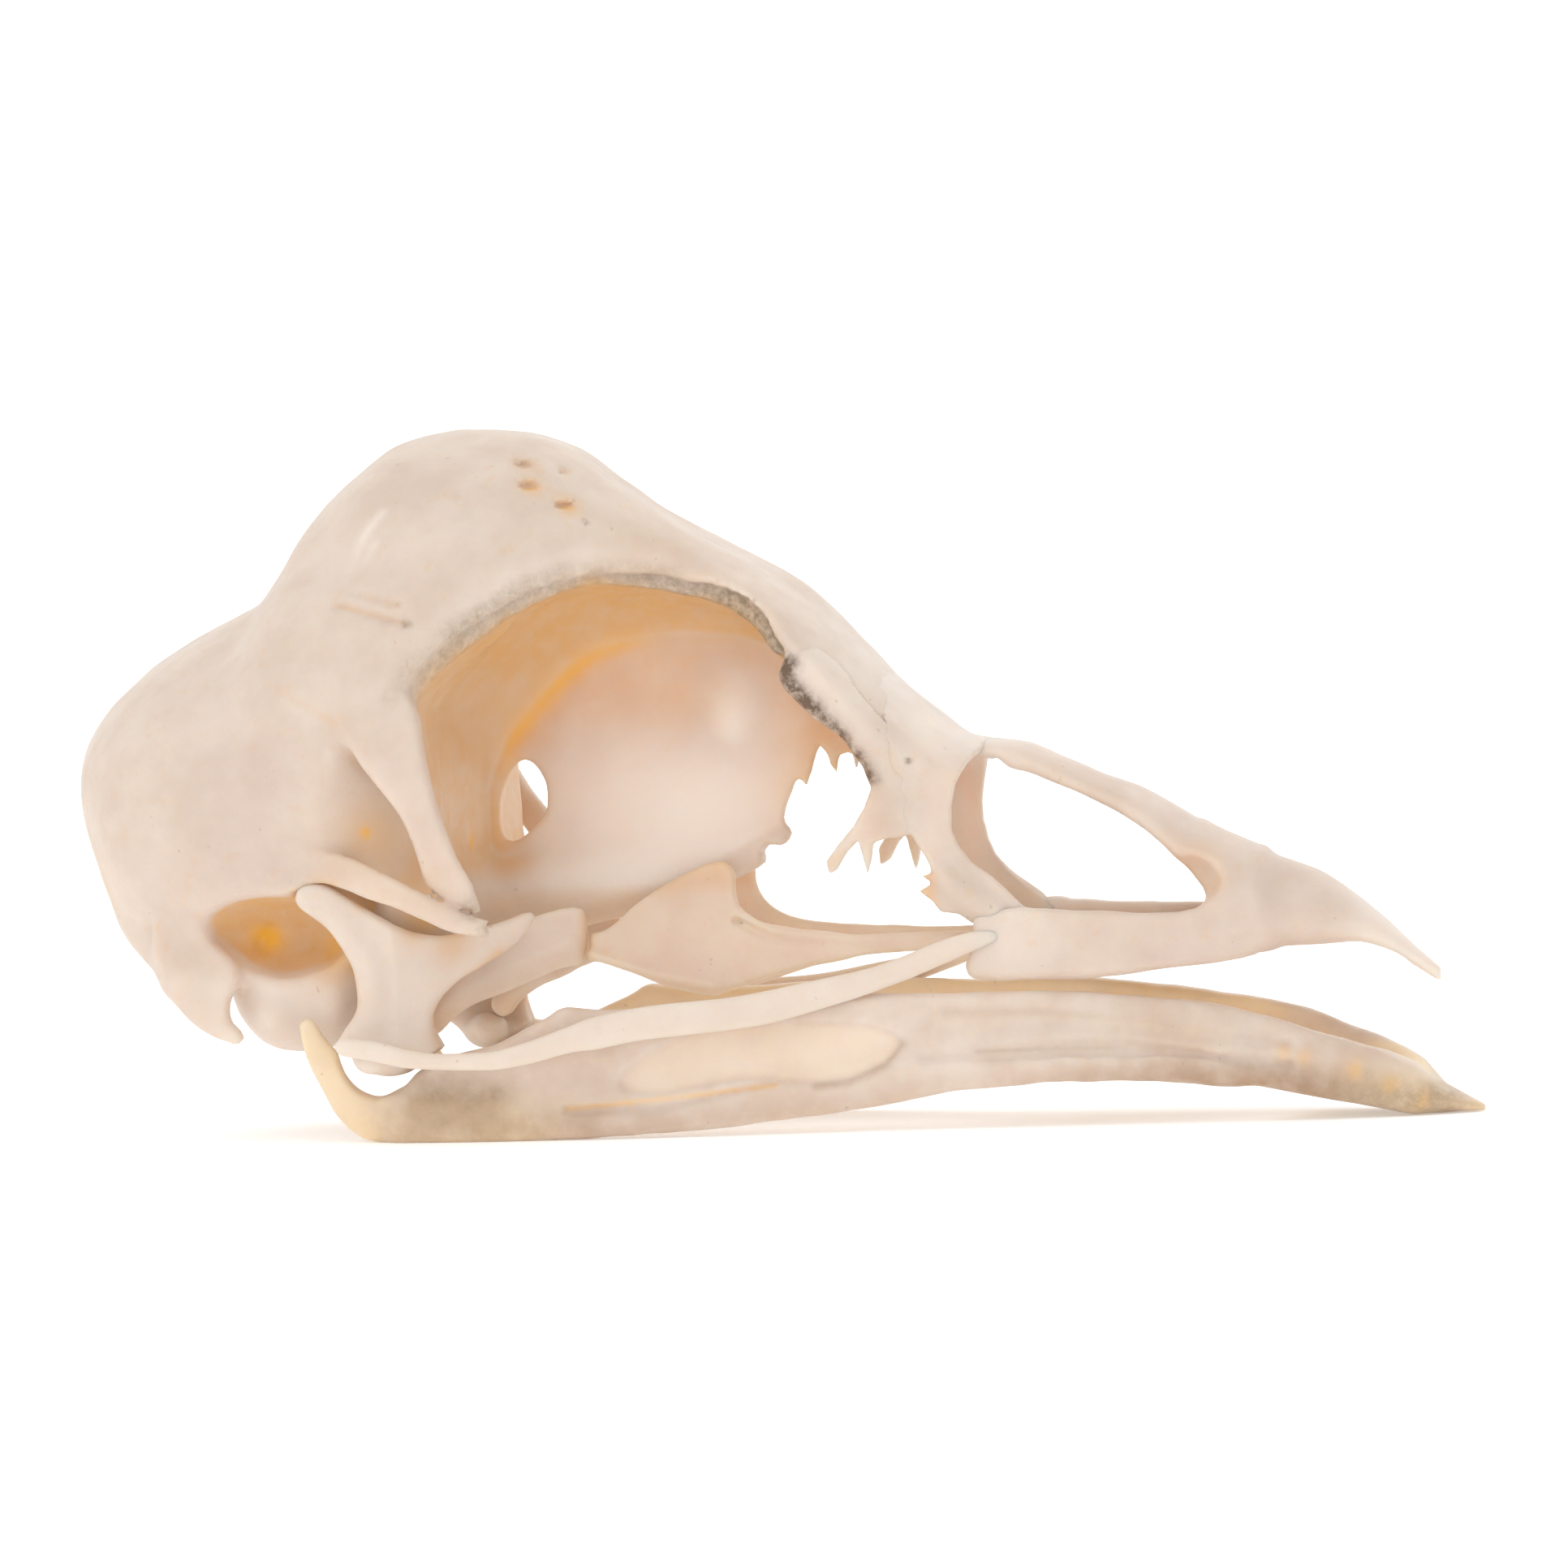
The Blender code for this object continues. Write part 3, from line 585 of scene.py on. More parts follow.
HOOK = (
    (-30.8, 11.0), (-30.5, 9.3), (-29.5, 8.0), (-29.1, 7.0), (-28.7, 6.3), (-28.1, 5.7),
    (-27.2, 5.3), (-26.6, 5.1),
    (-26.1, 5.3), (-26.3, 5.8), (-26.7, 6.1), (-26.9, 6.6), (-26.9, 7.2), (-26.7, 7.8), (-26.2, 8.4),
    (-26.3, 9.4), (-27.6, 10.4), (-28.4, 11.5), (-29.4, 13.0),
)

# The braincase's low swellings, and hollows where the height is below zero: centre, sizes and height
SWELLINGS = (
    ((-21.5, -12.6, 22.6), (2.6, 1.6, 0.9), 0.35), ((-24.5, -12.6, 17.5), (3.6, 2.5, 4.0), -0.45),
    ((-31.5, -9.0, 20.0), (3.0, 4.0, 2.5), 0.5), ((-33.0, 0.0, 22.5), (2.5, 1.6, 2.5), 0.35),
    ((-31.0, 0.0, 11.0), (4.0, 3.0, 3.0), -0.4), ((-21.0, -8.5, 29.5), (3.0, 3.0, 2.0), -0.5),
    ((-9.0, 0.0, 34.5), (5.0, 1.6, 3.0), -0.25), ((-2.0, 0.0, 30.0), (6.0, 1.8, 2.5), -0.35),
)

# The brain's hollow, as two ellipsoids
BRAIN_ROOM = (((-28.6, 0.0, 15.6), (5.6, 8.2, 7.0)), ((-21.8, 0.0, 21.0), (4.8, 8.6, 8.0)))

# The small pits on the crown, and the two fine grooves behind the eye
PITS = (
    ((-11.0, -6.2, 33.15), (0.7, 0.8, 0.3)), ((-9.2, -6.0, 32.15), (0.7, 0.75, 0.28)),
    ((-11.5, -5.0, 34.2), (0.65, 0.8, 0.24)), ((-9.7, -4.2, 33.85), (0.5, 0.7, 0.2)),
)
GROOVES = (
    ((-20.2, -10.8, 27.4, 0.1, 0.2), (-18.6, -11.2, 27.0, 0.18, 0.25), (-16.5, -11.4, 26.3, 0.25, 0.35)),
    ((-19.4, -10.8, 28.0, 0.1, 0.2), (-17.9, -11.0, 27.6, 0.18, 0.25), (-16.8, -11.1, 27.3, 0.1, 0.2)),
)

# The face's arch goes on from the cranium's front ovals: rows of x, top, half width and widest height
FACE = tuple((x, top, half, level) for x, top, bottom, half, level in CRANIUM[16:]) + (
    (10.5, 19.7, 4.85, 17.2), (12.5, 19.3, 4.8, 17.0), (14.5, 18.7, 4.9, 17.0),
)
FACE_OUTLINE = (
    (1.0, 26.3), (1.6, 25.3), (2.2, 24.5), (2.1, 23.9), (1.7, 23.2), (1.9, 22.6), (2.6, 21.8), (3.5, 20.9),
    (4.9, 19.8), (5.9, 18.4), (6.3, 17.3), (5.9, 16.3), (5.3, 15.4), (4.6, 14.6), (3.9, 13.7), (4.0, 12.9),
    (4.5, 13.2), (5.0, 14.1), (5.5, 14.6), (5.7, 13.7), (5.95, 12.7), (6.2, 13.7), (6.3, 14.5), (6.9, 14.75),
    (7.5, 14.8), (8.1, 14.9), (8.7, 13.8), (9.1, 12.9), (8.5, 12.75), (9.1, 12.4), (8.5, 12.0), (9.1, 11.5),
    (9.5, 10.9), (10.4, 10.8), (11.0, 10.3), (14.6, 10.4), (13.5, 11.2), (12.6, 12.1), (11.9, 12.8),
    (11.1, 13.4), (10.5, 14.2), (10.15, 15.1), (10.2, 16.2), (10.4, 17.3), (10.7, 18.3), (11.2, 19.0),
    (11.6, 20.5), (6.0, 30.0), (0.9, 30.0),
)

# How far the left nasal is set back at each height, and the seams' places: height and x of the nasal's,
# x and height of the roof's
FAR_NASAL_BACK = (
    (10.0, 0.6), (11.0, 1.1), (12.5, 1.2), (13.6, 0.7), (15.1, 0.35), (17.2, 0.4), (18.5, 0.3), (19.5, 0.0),
)
NASAL_SEAM = ((14.0, 8.0), (17.6, 7.75), (18.4, 7.3), (19.8, 7.1), (21.2, 6.8), (22.2, 6.4), (24.0, 5.6))
ROOF_SEAM = ((1.0, 24.3), (2.0, 24.2), (3.2, 24.3), (4.6, 23.6), (6.0, 22.3), (7.2, 21.0))
SEAM_WAVE = 0.08


def past_nasal_seam(x, z):
    """How far behind the seam of the nasal a place is, below zero in front of it."""
    seam = np.array(NASAL_SEAM)
    return smooth(seam[:, 0], seam[:, 1], z) + SEAM_WAVE * np.sin(5.0 * z) - x


def past_roof_seam(x, z):
    """How far above the seam between the roof and the lacrimal a place is."""
    seam = np.array(ROOF_SEAM)
    return z - smooth(seam[:, 0], seam[:, 1], x) - SEAM_WAVE * np.sin(4.0 * x)


def near_seam(points):
    """Close to a seam light may not sink deep into the bone, or the seam would show as a dark line:
    e to minus the squared gap to the nearest seam, in front of the eye's space."""
    x, z = points[:, 0], points[:, 2]
    nasal = np.abs(past_nasal_seam(x, z))
    roof = np.where((x > 0.5) & (x < 7.8), np.abs(past_roof_seam(x, z)), FAR)
    beak = np.where(z > 9.0, np.abs(x - 10.9) * 0.7, FAR)
    gap = np.minimum(np.minimum(nasal, roof), beak)
    return 0.92 * np.exp(-(gap / 1.1) ** 2) * (x > 0.0)


def face_sheet(x, y, z):
    """Distance to the face's sheet: an arch with upright sides, kept inside its outline."""
    rows = np.asarray(FACE)
    top, half, level = (smooth(rows[:, 0], column, x) for column in rows.T[1:])
    up = np.maximum(z - level, 0)
    upright = np.abs(y) - half - 0.05 * (level - z)
    arch = np.where(z > level, oval_distance((y, half), (up, top - level)), upright)
    half_thickness, edge = 0.34, 0.2
    thickness = np.abs(arch + half_thickness) - half_thickness
    return rounded_corner(outline_distance(x, z, FACE_OUTLINE), thickness, edge)


def orbit_room(x, y, z):
    """Distance to the eye's space on one side: an outline that opens from the septum out to the rim."""
    inner, rim = np.asarray(ORBIT_INNER), np.asarray(ORBIT_RIM)
    out, share = np.array(ORBIT_OPENING).T
    shares = smooth(out, share, np.abs(y[0, :, 0]))
    slabs = [outline_distance(x[:, 0], z[0], rounded(inner + (rim - inner) * s, 1)) for s in shares]
    return np.stack(slabs, axis=1)


def septum_half(x, z):
    """Half the thickness of the wall between the eyes, with its soft lobe in front."""
    lobe = 0.55 * np.exp(-((x + 2.1) / 1.5) ** 2 - ((z - 20.9) / 2.0) ** 2)
    low = 0.25 * np.exp(-((x + 7.0) / 5.0) ** 2 - ((z - 16.0) / 3.0) ** 2)
    return 0.36 + lobe + low


def shape_braincase(bone):
    """The outer ovals, with their low swellings and hollows."""
    bone.add(body(CRANIUM), 0.01)
    for swelling in SWELLINGS:
        bone.swell(*swelling)


def carve_eye_rooms(bone):
    """The eye's space, which leaves the wall between the eyes, and the worn ledge along its upper rim:
    the ledge's outline, 0.7 mm deep below the outer ovals."""
    x, y, z = bone.everywhere()
    outside = bone.field.copy()
    room = shared(orbit_room(x, y, z), septum_half(x, z) - np.abs(y), 0.45)
    bone.field = without(bone.field, room, 0.25)
    ledge = np.maximum(outline_distance(x, z, rounded(ORBIT_LEDGE, 1)), -0.7 - outside)
    bone.field = without(bone.field, np.maximum(ledge, 4.0 - np.abs(y)), 0.3)


def carve_temple(bone):
    """The hollow behind the eye: an outline that goes in as far as a floor, which rises to both ends."""
    x, y, z = bone.everywhere()
    floor = 10.2 - np.abs(y) + 0.15 * np.maximum(x + 17.0, 0) + 0.85 * np.maximum(-17.6 - x, 0)
    temple = shared(outline_distance(x, z, rounded(TEMPLE, 1)), floor, 1.4)
    bone.field = without(bone.field, temple, 1.1)


def shape_keel(bone):
    """The rod along the lower edge of the wall between the eyes."""
    bone.add(rod((
        (-15.6, 0.0, 11.0, 4.2, 5.4), (-13.2, 0.0, 12.3, 3.4, 3.6), (-10.5, 0.0, 12.8, 2.6, 2.6),
        (-7.0, 0.0, 13.0, 2.0, 1.7), (-3.5, 0.0, 13.4, 1.2, 1.1), (-0.6, 0.0, 14.2, 0.7, 0.8),
    )), 1.6)


def shape_ear(bone):
    """The ear's bowl with its dent and its rim, and the swelling below it."""
    bone.add(ball((-23.6, -6.4, 8.1), (3.9, 3.0, 3.7)), 1.2)
    bone.add(ball((-25.0, -6.5, 7.0), (1.5, 2.0, 1.9)), 0.8)
    bone.swell((-24.9, -9.0, 6.4), (0.9, 0.9, 0.8), 0.45)
    bone.swell((-23.0, -9.3, 6.0), (1.0, 1.0, 1.2), -0.4)
    bone.swell((-21.4, -9.0, 6.4), (0.9, 1.0, 1.6), 0.35)
    bone.cut(ball((-24.0, -12.9, 10.3), (4.6, 5.5, 2.4)), 0.5)
    bone.cut(rod(((-25.5, -8.1, 10.1, 1.0, 1.5), (-24.8, -8.1, 10.95, 0.8, 1.5)), pieces=2), 0.25)
    bone.cut(ball((-20.4, -12.6, 11.3), (2.7, 3.2, 2.8)), 0.4)
    bone.add(rod((
        (-22.6, -12.1, 13.1, 0.5, 0.8), (-20.6, -12.2, 13.9, 0.6, 0.8), (-18.3, -12.4, 13.0, 0.5, 0.8),
    )), 0.4)


def shape_cheek_spurs(bone):
    """The spur above the ear, a plate that leans out to both ends, and the hook behind the ear."""
    bone.add(sheet(
        rounded(ZYGOMATIC), lambda x, z: -13.0 + 0.05 * (x + 17.0) ** 2 * np.where(x < -17, 1.0, 0.4),
        lambda x, z: 0.42 + 0.05 * np.maximum(-17 - x, 0), 0.38), 0.5)
    bone.add(sheet(
        rounded(HOOK), lambda x, z: -9.3, lambda x, z: 0.4 + 0.09 * np.clip(z - 5, 0, 6), 0.38), 0.8)
    bone.add(rod((
        (-29.0, -9.3, 8.6, 2.0, 1.3), (-28.3, -9.3, 6.9, 1.3, 1.1), (-27.4, -9.3, 5.9, 0.8, 0.9),
        (-26.6, -9.3, 5.45, 0.6, 0.6),
    )), 0.5)


def shape_back(bone):
    """The brain's hollow, the round hole for the spine, the knob below it and the ridge beside it."""
    for centre, radii in BRAIN_ROOM:
        bone.cut(ball(centre, radii), 1.0)
    bone.cut(rod(((-42.0, 0.0, 12.9, 6.6, 7.0), (-29.0, 0.0, 14.1, 6.8, 7.2)), pieces=2), 0.4)
    bone.add(ball((-32.2, 0.0, 9.3), (1.1, 1.2, 1.0)), 0.4)
    bone.add(rod((
        (-33.2, -5.0, 13.6, 2.0, 2.2), (-32.3, -5.9, 11.5, 2.4, 2.4), (-30.8, -7.3, 10.1, 2.4, 2.2),
        (-29.4, -8.5, 8.9, 2.0, 1.6),
    )), 1.4)


def join_face(bone):
    """The roof goes on forward as the face's sheet, as far as the seams of the lacrimal and the nasal."""
    x, y, z = bone.everywhere()
    roof = np.maximum(face_sheet(x, y, z), -OVERLAP - past_roof_seam(x, z))
    lost = np.maximum(past_roof_seam(x, z), np.maximum(1.4 - x, 4.9 - np.abs(y)))
    bone.field = np.minimum(np.maximum(bone.field, -lost), roof)
    bone.field = np.maximum(bone.field, -OVERLAP - past_nasal_seam(x, z))


def shape_processes(bone):
    """The processes behind the eyes. The left one stands a little further back, more so above: each
    point of its outline by 1.4 mm and by 0.45 mm for each millimetre that it is above z 16.5."""
    outline = np.array(POSTORBITAL)
    back = np.stack([1.4 + 0.45 * np.clip(outline[:, 1] - 16.5, -4.0, 2.5), np.zeros(len(outline))], axis=1)
    for side, shape in ((-1, outline), (1, outline - back)):
        bone.add(sheet(
            rounded(shape),
            lambda x, z: side * (12.9 - 0.03 * (z - 16.0) ** 2 + 0.05 * np.minimum(z - 16, 0)),
            lambda x, z: 0.5 + 0.05 * np.maximum(z - 14.0, 0), 0.45), 0.5)


def cranium():
    """The braincase, the roof over the eyes and the wall between them, grown together. The right half
    is shaped, mirrored, and given the processes behind the eyes and a grain, which is coarser on the
    worn rim over the eyes."""
    bone = Bone((-37.4, -14.4, 3.0), (8.4, 0.0, 36.9), CRANIUM_CELL)
    for shape in (
        shape_braincase, carve_eye_rooms, carve_temple, shape_keel, shape_ear, shape_cheek_spurs, shape_back,
    ):
        shape(bone)
    bone.cut(prism(rounded(SEPTUM_HOLE, 2), -4.5, 3.0), 0.2)
    bone.cut(prism(BROKEN_FRONT, -2.2, 1.6), 0.15)
    join_face(bone)
    for centre, radii in PITS:
        bone.cut(ball(centre, radii), 0.15)
    for groove in GROOVES:
        bone.cut(rod(groove, pieces=4), 0.3)
    bone.mirror()
    shape_processes(bone)
    x, y, z = bone.everywhere()
    rim = np.exp(-np.abs(np.abs(y) - 6.0) / 3.0) * np.clip((z - 24.0) / 2.0, 0, 1) * (z < 29.5) * (x > -16)
    bone.weather(2.0 * rim)
    return bone


# Materials

# PALE_TONE is mostly painted light that lightens parts lying in shade, besides real scrapes; ORANGE_TONE is
# painted glow of light through thin bone on the cranium, besides real orange streaks on the jaw
PALE_TONE = (0.91, 0.83, 0.755)
ORANGE_TONE = (0.93, 0.50, 0.05)
SPECK_TONE = (0.42, 0.30, 0.2)

# Sizes of the noise patterns, in millimetres
BLOTCH, STREAK, CLOUD, TINT, GLINT, DUST, SPECK, PATINA, FINE_GRAIN, BROAD_GRAIN = (
    3.2, 0.9, 1.4, 1.2, 0.8, 0.45, 0.5, 0.7, 0.28, 1.1,
)
BUMP_STRENGTH, BUMP_DEPTH = 0.6, 0.09


def bone_material(name, light, shade, amber, brown, dirt_and_shade, roughness, glow, reach):
    """Dry bone: soft blotches between a light and a shade tone, with thin amber streaks. Over them come
    the brown, pale, amber, orange and dirt-and-shade tones, each as strong as its mark and broken up by
    noise, then fine specks. The brown is mostly painted shade, and a real tint on the beak; the pale is
    mostly painted light on parts lying in shade; the amber and orange are painted glow of light through
    thin bone and painted shade in creases; the dirt-and-shade tone is grey-brown mottle and painted shade
    in recesses. The hollow mark adds amber as painted warm shade in hollows. Glow is how much light sinks
    in and reach how deep, less by the seam mark. Noise gives the surface its grain, and gloss smooths it."""
    material = bpy.data.materials.new(name)
    material.use_nodes = True
    tree = material.node_tree
    nodes, links = tree.nodes, tree.links
    shader = nodes["Principled BSDF"]
    place = nodes.new("ShaderNodeTexCoord").outputs["Object"]

    def mark(name):
        """A mark that the mesh keeps at each point."""
        node = nodes.new("ShaderNodeAttribute")
        node.attribute_name = name
        return node.outputs["Fac"]

    def noise(size, detail=3.0, rough=0.55):
        """Noise of that size in millimetres."""
        node = nodes.new("ShaderNodeTexNoise")
        node.inputs["Scale"].default_value = 1.0 / (size * MM)
        node.inputs["Detail"].default_value = detail
        node.inputs["Roughness"].default_value = rough
        links.new(place, node.inputs["Vector"])
        return node.outputs["Fac"]

    def ramp(source, low, high, to_low=0.0, to_high=1.0):
        """The value carried in a straight line from low..high to to_low..to_high."""
        node = nodes.new("ShaderNodeMapRange")
        node.inputs["From Min"].default_value = low
        node.inputs["From Max"].default_value = high
        node.inputs["To Min"].default_value = to_low
        node.inputs["To Max"].default_value = to_high
        links.new(source, node.inputs["Value"])
        return node.outputs["Result"]

    def maths(kind, a, b):
        """Two values, numbers or sockets, joined by that operation."""
        node = nodes.new("ShaderNodeMath")
        node.operation = kind
        for socket, source in zip(node.inputs, (a, b)):
            if isinstance(source, (int, float)):
                socket.default_value = source
            else:
                links.new(source, socket)
        return node.outputs["Value"]

    def mixed(share, a, b):
        """Colour a with that share of colour b."""
        node = nodes.new("ShaderNodeMix")
        node.data_type = "RGBA"
        links.new(share, node.inputs["Factor"])
        for socket, source in ((node.inputs["A"], a), (node.inputs["B"], b)):
            if isinstance(source, tuple):
                socket.default_value = (*source, 1.0)
            else:
                links.new(source, socket)
        return node.outputs["Result"]

    def product(a, b):
        """a times b."""
        return maths("MULTIPLY", a, b)

    def less(a, b):
        """a minus b."""
        return maths("SUBTRACT", a, b)

    colour = mixed(ramp(noise(BLOTCH), 0.38, 0.66), light, shade)
    streak = ramp(noise(STREAK, 5.0, 0.7), 0.56, 0.72)
    colour = mixed(product(streak, 0.25), colour, amber)
    # Painted shade: the brown tone where the rose mark is, on the beak a real rosy tint
    rose = product(mark("rose"), ramp(noise(TINT), 0.3, 0.6, 0.6, 1.0))
    colour = mixed(rose, colour, brown)
    # Painted light: the pale tone mostly lightens parts that lie in shade; the scrapes on the crown and rim
    # are real wear
    colour = mixed(mark("pale"), colour, PALE_TONE)
    # Painted warm shade in hollows, and painted amber glow and crease shade where the amber mark is
    hollow = product(ramp(mark("hollow"), 0.53, 0.78), 0.6)
    hollow = product(hollow, less(1.0, mark("pale")))
    warm = product(maths("MAXIMUM", mark("amber"), hollow), ramp(noise(CLOUD), 0.3, 0.6, 0.7, 1.0))
    colour = mixed(warm, colour, amber)
    # Painted glow: orange where light shines through thin bone; on the jaw real orange streaks and spots
    orange = product(mark("orange"), ramp(noise(GLINT), 0.3, 0.55, 0.75, 1.0))
    colour = mixed(orange, colour, ORANGE_TONE)
    # Grey-brown mottle and painted shade in recesses
    grey = product(mark("grey"), ramp(noise(DUST, 4.0, 0.7), 0.36, 0.62, 0.4, 1.0))
    colour = mixed(grey, colour, dirt_and_shade)
    speck = product(ramp(noise(SPECK, 1.0), 0.76, 0.8), less(1.0, mark("gloss")))
    colour = mixed(product(speck, 0.3), colour, SPECK_TONE)
    links.new(colour, shader.inputs["Base Color"])
    links.new(product(less(1.0, mark("seam")), reach * MM), shader.inputs["Subsurface Scale"])

    rough = ramp(noise(PATINA), 0.3, 0.7, roughness - 0.08, roughness + 0.1)
    links.new(less(rough, product(mark("gloss"), 0.06)), shader.inputs["Roughness"])
    shader.inputs["Specular IOR Level"].default_value = 0.4
    shader.inputs["Subsurface Weight"].default_value = glow
    shader.inputs["Subsurface Radius"].default_value = (1.0, 0.7, 0.45)

    height = maths("ADD", product(noise(FINE_GRAIN, 4.0), 0.5), product(noise(BROAD_GRAIN), 0.5))
    height = maths("ADD", height, product(product(mark("grey"), noise(DUST, 3.0)), 2.5))
    bump = nodes.new("ShaderNodeBump")
    links.new(less(BUMP_STRENGTH, product(mark("gloss"), BUMP_STRENGTH)), bump.inputs["Strength"])
    bump.inputs["Distance"].default_value = BUMP_DEPTH * MM
    links.new(height, bump.inputs["Height"])
    links.new(bump.outputs["Normal"], shader.inputs["Normal"])
    return material


# AMBER and each material's third colour are the tone of painted glow and painted crease shade; the fifth
# colour is the mostly painted-shade brown, the sixth the tone of grey-brown mottle and painted shade
AMBER = (0.76, 0.46, 0.205)
IVORY = bone_material(
    "ivory_bone_dry", (0.77, 0.65, 0.55), (0.71, 0.575, 0.475), AMBER,
    (0.66, 0.52, 0.455), (0.27, 0.20, 0.125),
    0.5, 0.5, 1.1)
THIN = bone_material(
    "thin_bone_dry", (0.77, 0.655, 0.56), (0.715, 0.585, 0.485), AMBER,
    (0.66, 0.50, 0.38), (0.19, 0.125, 0.08),
    0.5, 0.7, 1.2)
JAW = bone_material(
    "jaw_bone_waxy", (0.79, 0.68, 0.59), (0.72, 0.58, 0.475), (0.92, 0.74, 0.49), (0.45, 0.30, 0.195),
    (0.33, 0.24, 0.16), 0.4, 0.5, 1.1)


def under_skin(x, y, z):
    """How deep below the cranium's outer ovals a place is."""
    return -body(CRANIUM)[2](x, y, z)


def eye_space(x, y, z, none, full):
    """How far each place belongs to the eye's space: fades in depth below the outer ovals, in x and in z."""
    deep = fade(under_skin(x, y, z), none, full)
    return deep * fade(x, -17.2, -16.4) * fade(z, 12.4, 14.0) * fade(z, 29.0, 28.4)


def in_orbit(points):
    """For points of the cranium: how far each belongs to the eye's space, to the wall between the
    eyes there, and how near it is to the crease where that wall meets the braincase and the roof."""
    x, y, z = folded(points).T
    eye = eye_space(x, y, z, 0.5, 1.1)
    divide = 1 - fade(y - septum_half(x, z), 0.1, 0.6)
    crease = np.clip(1 + outline_distance(x, z, rounded(ORBIT_INNER, 1)) / 2.6, 0, 1) ** 1.6
    return eye, divide, crease


def strongest(*marks):
    """The strongest of some marks at each point, from 0 to 1."""
    return np.clip(np.maximum.reduce(marks), 0, 1)


def cranium_amber_glow_and_shade(points):
    """Amber in the eye's room, in the wall's crease and front, in the ear, along the keel, in the
    temple, the pits and the grooves. In the eye's room, on the wall's front and in the ear it is painted
    glow of light through thin bone; in the crease, along the keel, in the temple, under the spurs and on
    the occiput it is painted shade."""
    x, y, z = folded(points).T
    eye, divide, crease = in_orbit(points)
    rear = fade(x, -7.0, -11.0)
    # Painted glow on the eye's rear wall and ceiling
    room = eye * (1 - divide) * (0.75 + 0.25 * fade(z, 22.0, 25.0))
    room *= np.maximum(fade(x, -12.0, -14.0), fade(z, 15.0, 18.0))
    front = np.maximum(0.7 * fade(x, -1.5, 3.0), 0.42 * fade(z, 19.0, 22.5) * fade(x, 0.0, -5.0))
    # Painted shade in the crease, and painted glow on the front of the wall between the eyes
    wall = eye * divide * np.maximum(crease * (0.6 + 0.4 * rear) * fade(z, 12.8, 14.5), front)
    # Painted glow in the ear
    ear = fade(under_skin(x, y, z), 0.3, 0.8) * fade(z, 7.9, 9.3) * fade(z, 13.4, 12.6)
    ear *= fade(x, -29.0, -28.0) * fade(x, -16.5, -18.0) * fade(y, 5.5, 6.5)
    # Painted shade along the keel's lower edge
    keel = 0.3 * fade(z, 12.6, 11.8) * (x > -17.0) * fade(y, 3.5, 2.5)
    # Painted shade in the temple, under the spurs and on the occiput, and amber in the pits
    patches = spots(points, (
        (-18.2, 11.0, 15.3, 2.4, 0.6), (-16.2, 10.6, 13.2, 2.2, 0.8), (-17.5, 11.8, 12.8, 1.2, 0.8),
        (-20.6, 12.4, 12.9, 0.9, 0.8), (-30.6, 5.5, 9.3, 2.0, 0.4), (-33.9, 6.5, 13.6, 2.0, 0.3),
        (-4.8, 5.5, 30.4, 3.0, 0.12), (-11.0, 5.9, 32.95, 0.6, 0.95), (-9.2, 5.7, 31.95, 0.6, 0.95),
        (-11.5, 4.8, 33.95, 0.6, 0.6), (-9.7, 4.1, 33.7, 0.35, 0.4), (-21.0, 9.6, 9.6, 1.6, 0.9),
    ))
    lines = trails(points, (
        (0.2, 0.35, ((-22.9, 12.2, 23.2), (-21.9, 12.6, 22.6), (-21.0, 12.7, 22.2), (-19.8, 12.8, 21.4))),
        (0.14, 0.6, ((-20.2, 10.8, 27.4), (-18.6, 11.2, 27.0), (-16.4, 11.4, 26.35))),
        (0.12, 0.45, ((-19.4, 10.8, 28.0), (-17.9, 11.0, 27.6), (-16.8, 11.1, 27.3))),
        (0.3, 0.6, ((-22.5, 12.0, 12.9), (-21.0, 12.4, 13.4), (-19.0, 12.6, 12.9))),
    ))
    return strongest(room, wall, 0.95 * ear, keel, patches, lines)


def cranium_orange_glow_and_shade(points):
    """Orange along the crease, in the ear, in the pits and in thin streaks on the eye's rear wall: painted
    glow of light through thin bone, and deeper painted shade along the crease.
    """
    x, y, z = folded(points).T
    eye = in_orbit(points)[0]
    # Painted shade: deep orange along the crease
    edge = eye * np.exp(-(outline_distance(x, z, rounded(ORBIT_INNER, 1)) / 0.5) ** 2) * fade(y, 2.0, 1.2)
    edge *= 0.6 * fade(x, -14.8, -13.5) * fade(x, -5.0, -9.0)
    # Painted glow in the ear, and orange in the pits
    patches = spots(points, (
        (-25.2, 7.6, 10.5, 0.75, 1.3), (-21.2, 8.6, 10.2, 0.9, 0.5), (-11.0, 5.9, 32.9, 0.36, 0.3),
        (-9.2, 5.7, 31.9, 0.34, 0.25), (-18.9, 11.2, 15.8, 0.3, 0.9), (-15.9, 9.4, 10.9, 1.2, 0.8),
    ))
    # Painted glow: thin streaks of light through the eye's rear wall
    streaks = trails(points, (
        (0.34, 1.0, ((-14.3, 2.5, 19.2), (-14.8, 2.5, 17.6), (-15.0, 2.5, 17.1))),
        (0.3, 0.9, ((-15.0, 2.8, 15.8), (-15.7, 2.8, 14.7))),
        (0.26, 0.9, ((-8.2, 3.6, 26.5), (-7.4, 3.6, 26.8), (-5.3, 3.6, 26.8))),
        (0.2, 0.55, ((-3.8, 3.6, 26.3), (-2.2, 3.6, 25.8))),
    ))
    return np.maximum.reduce([edge, patches, streaks])


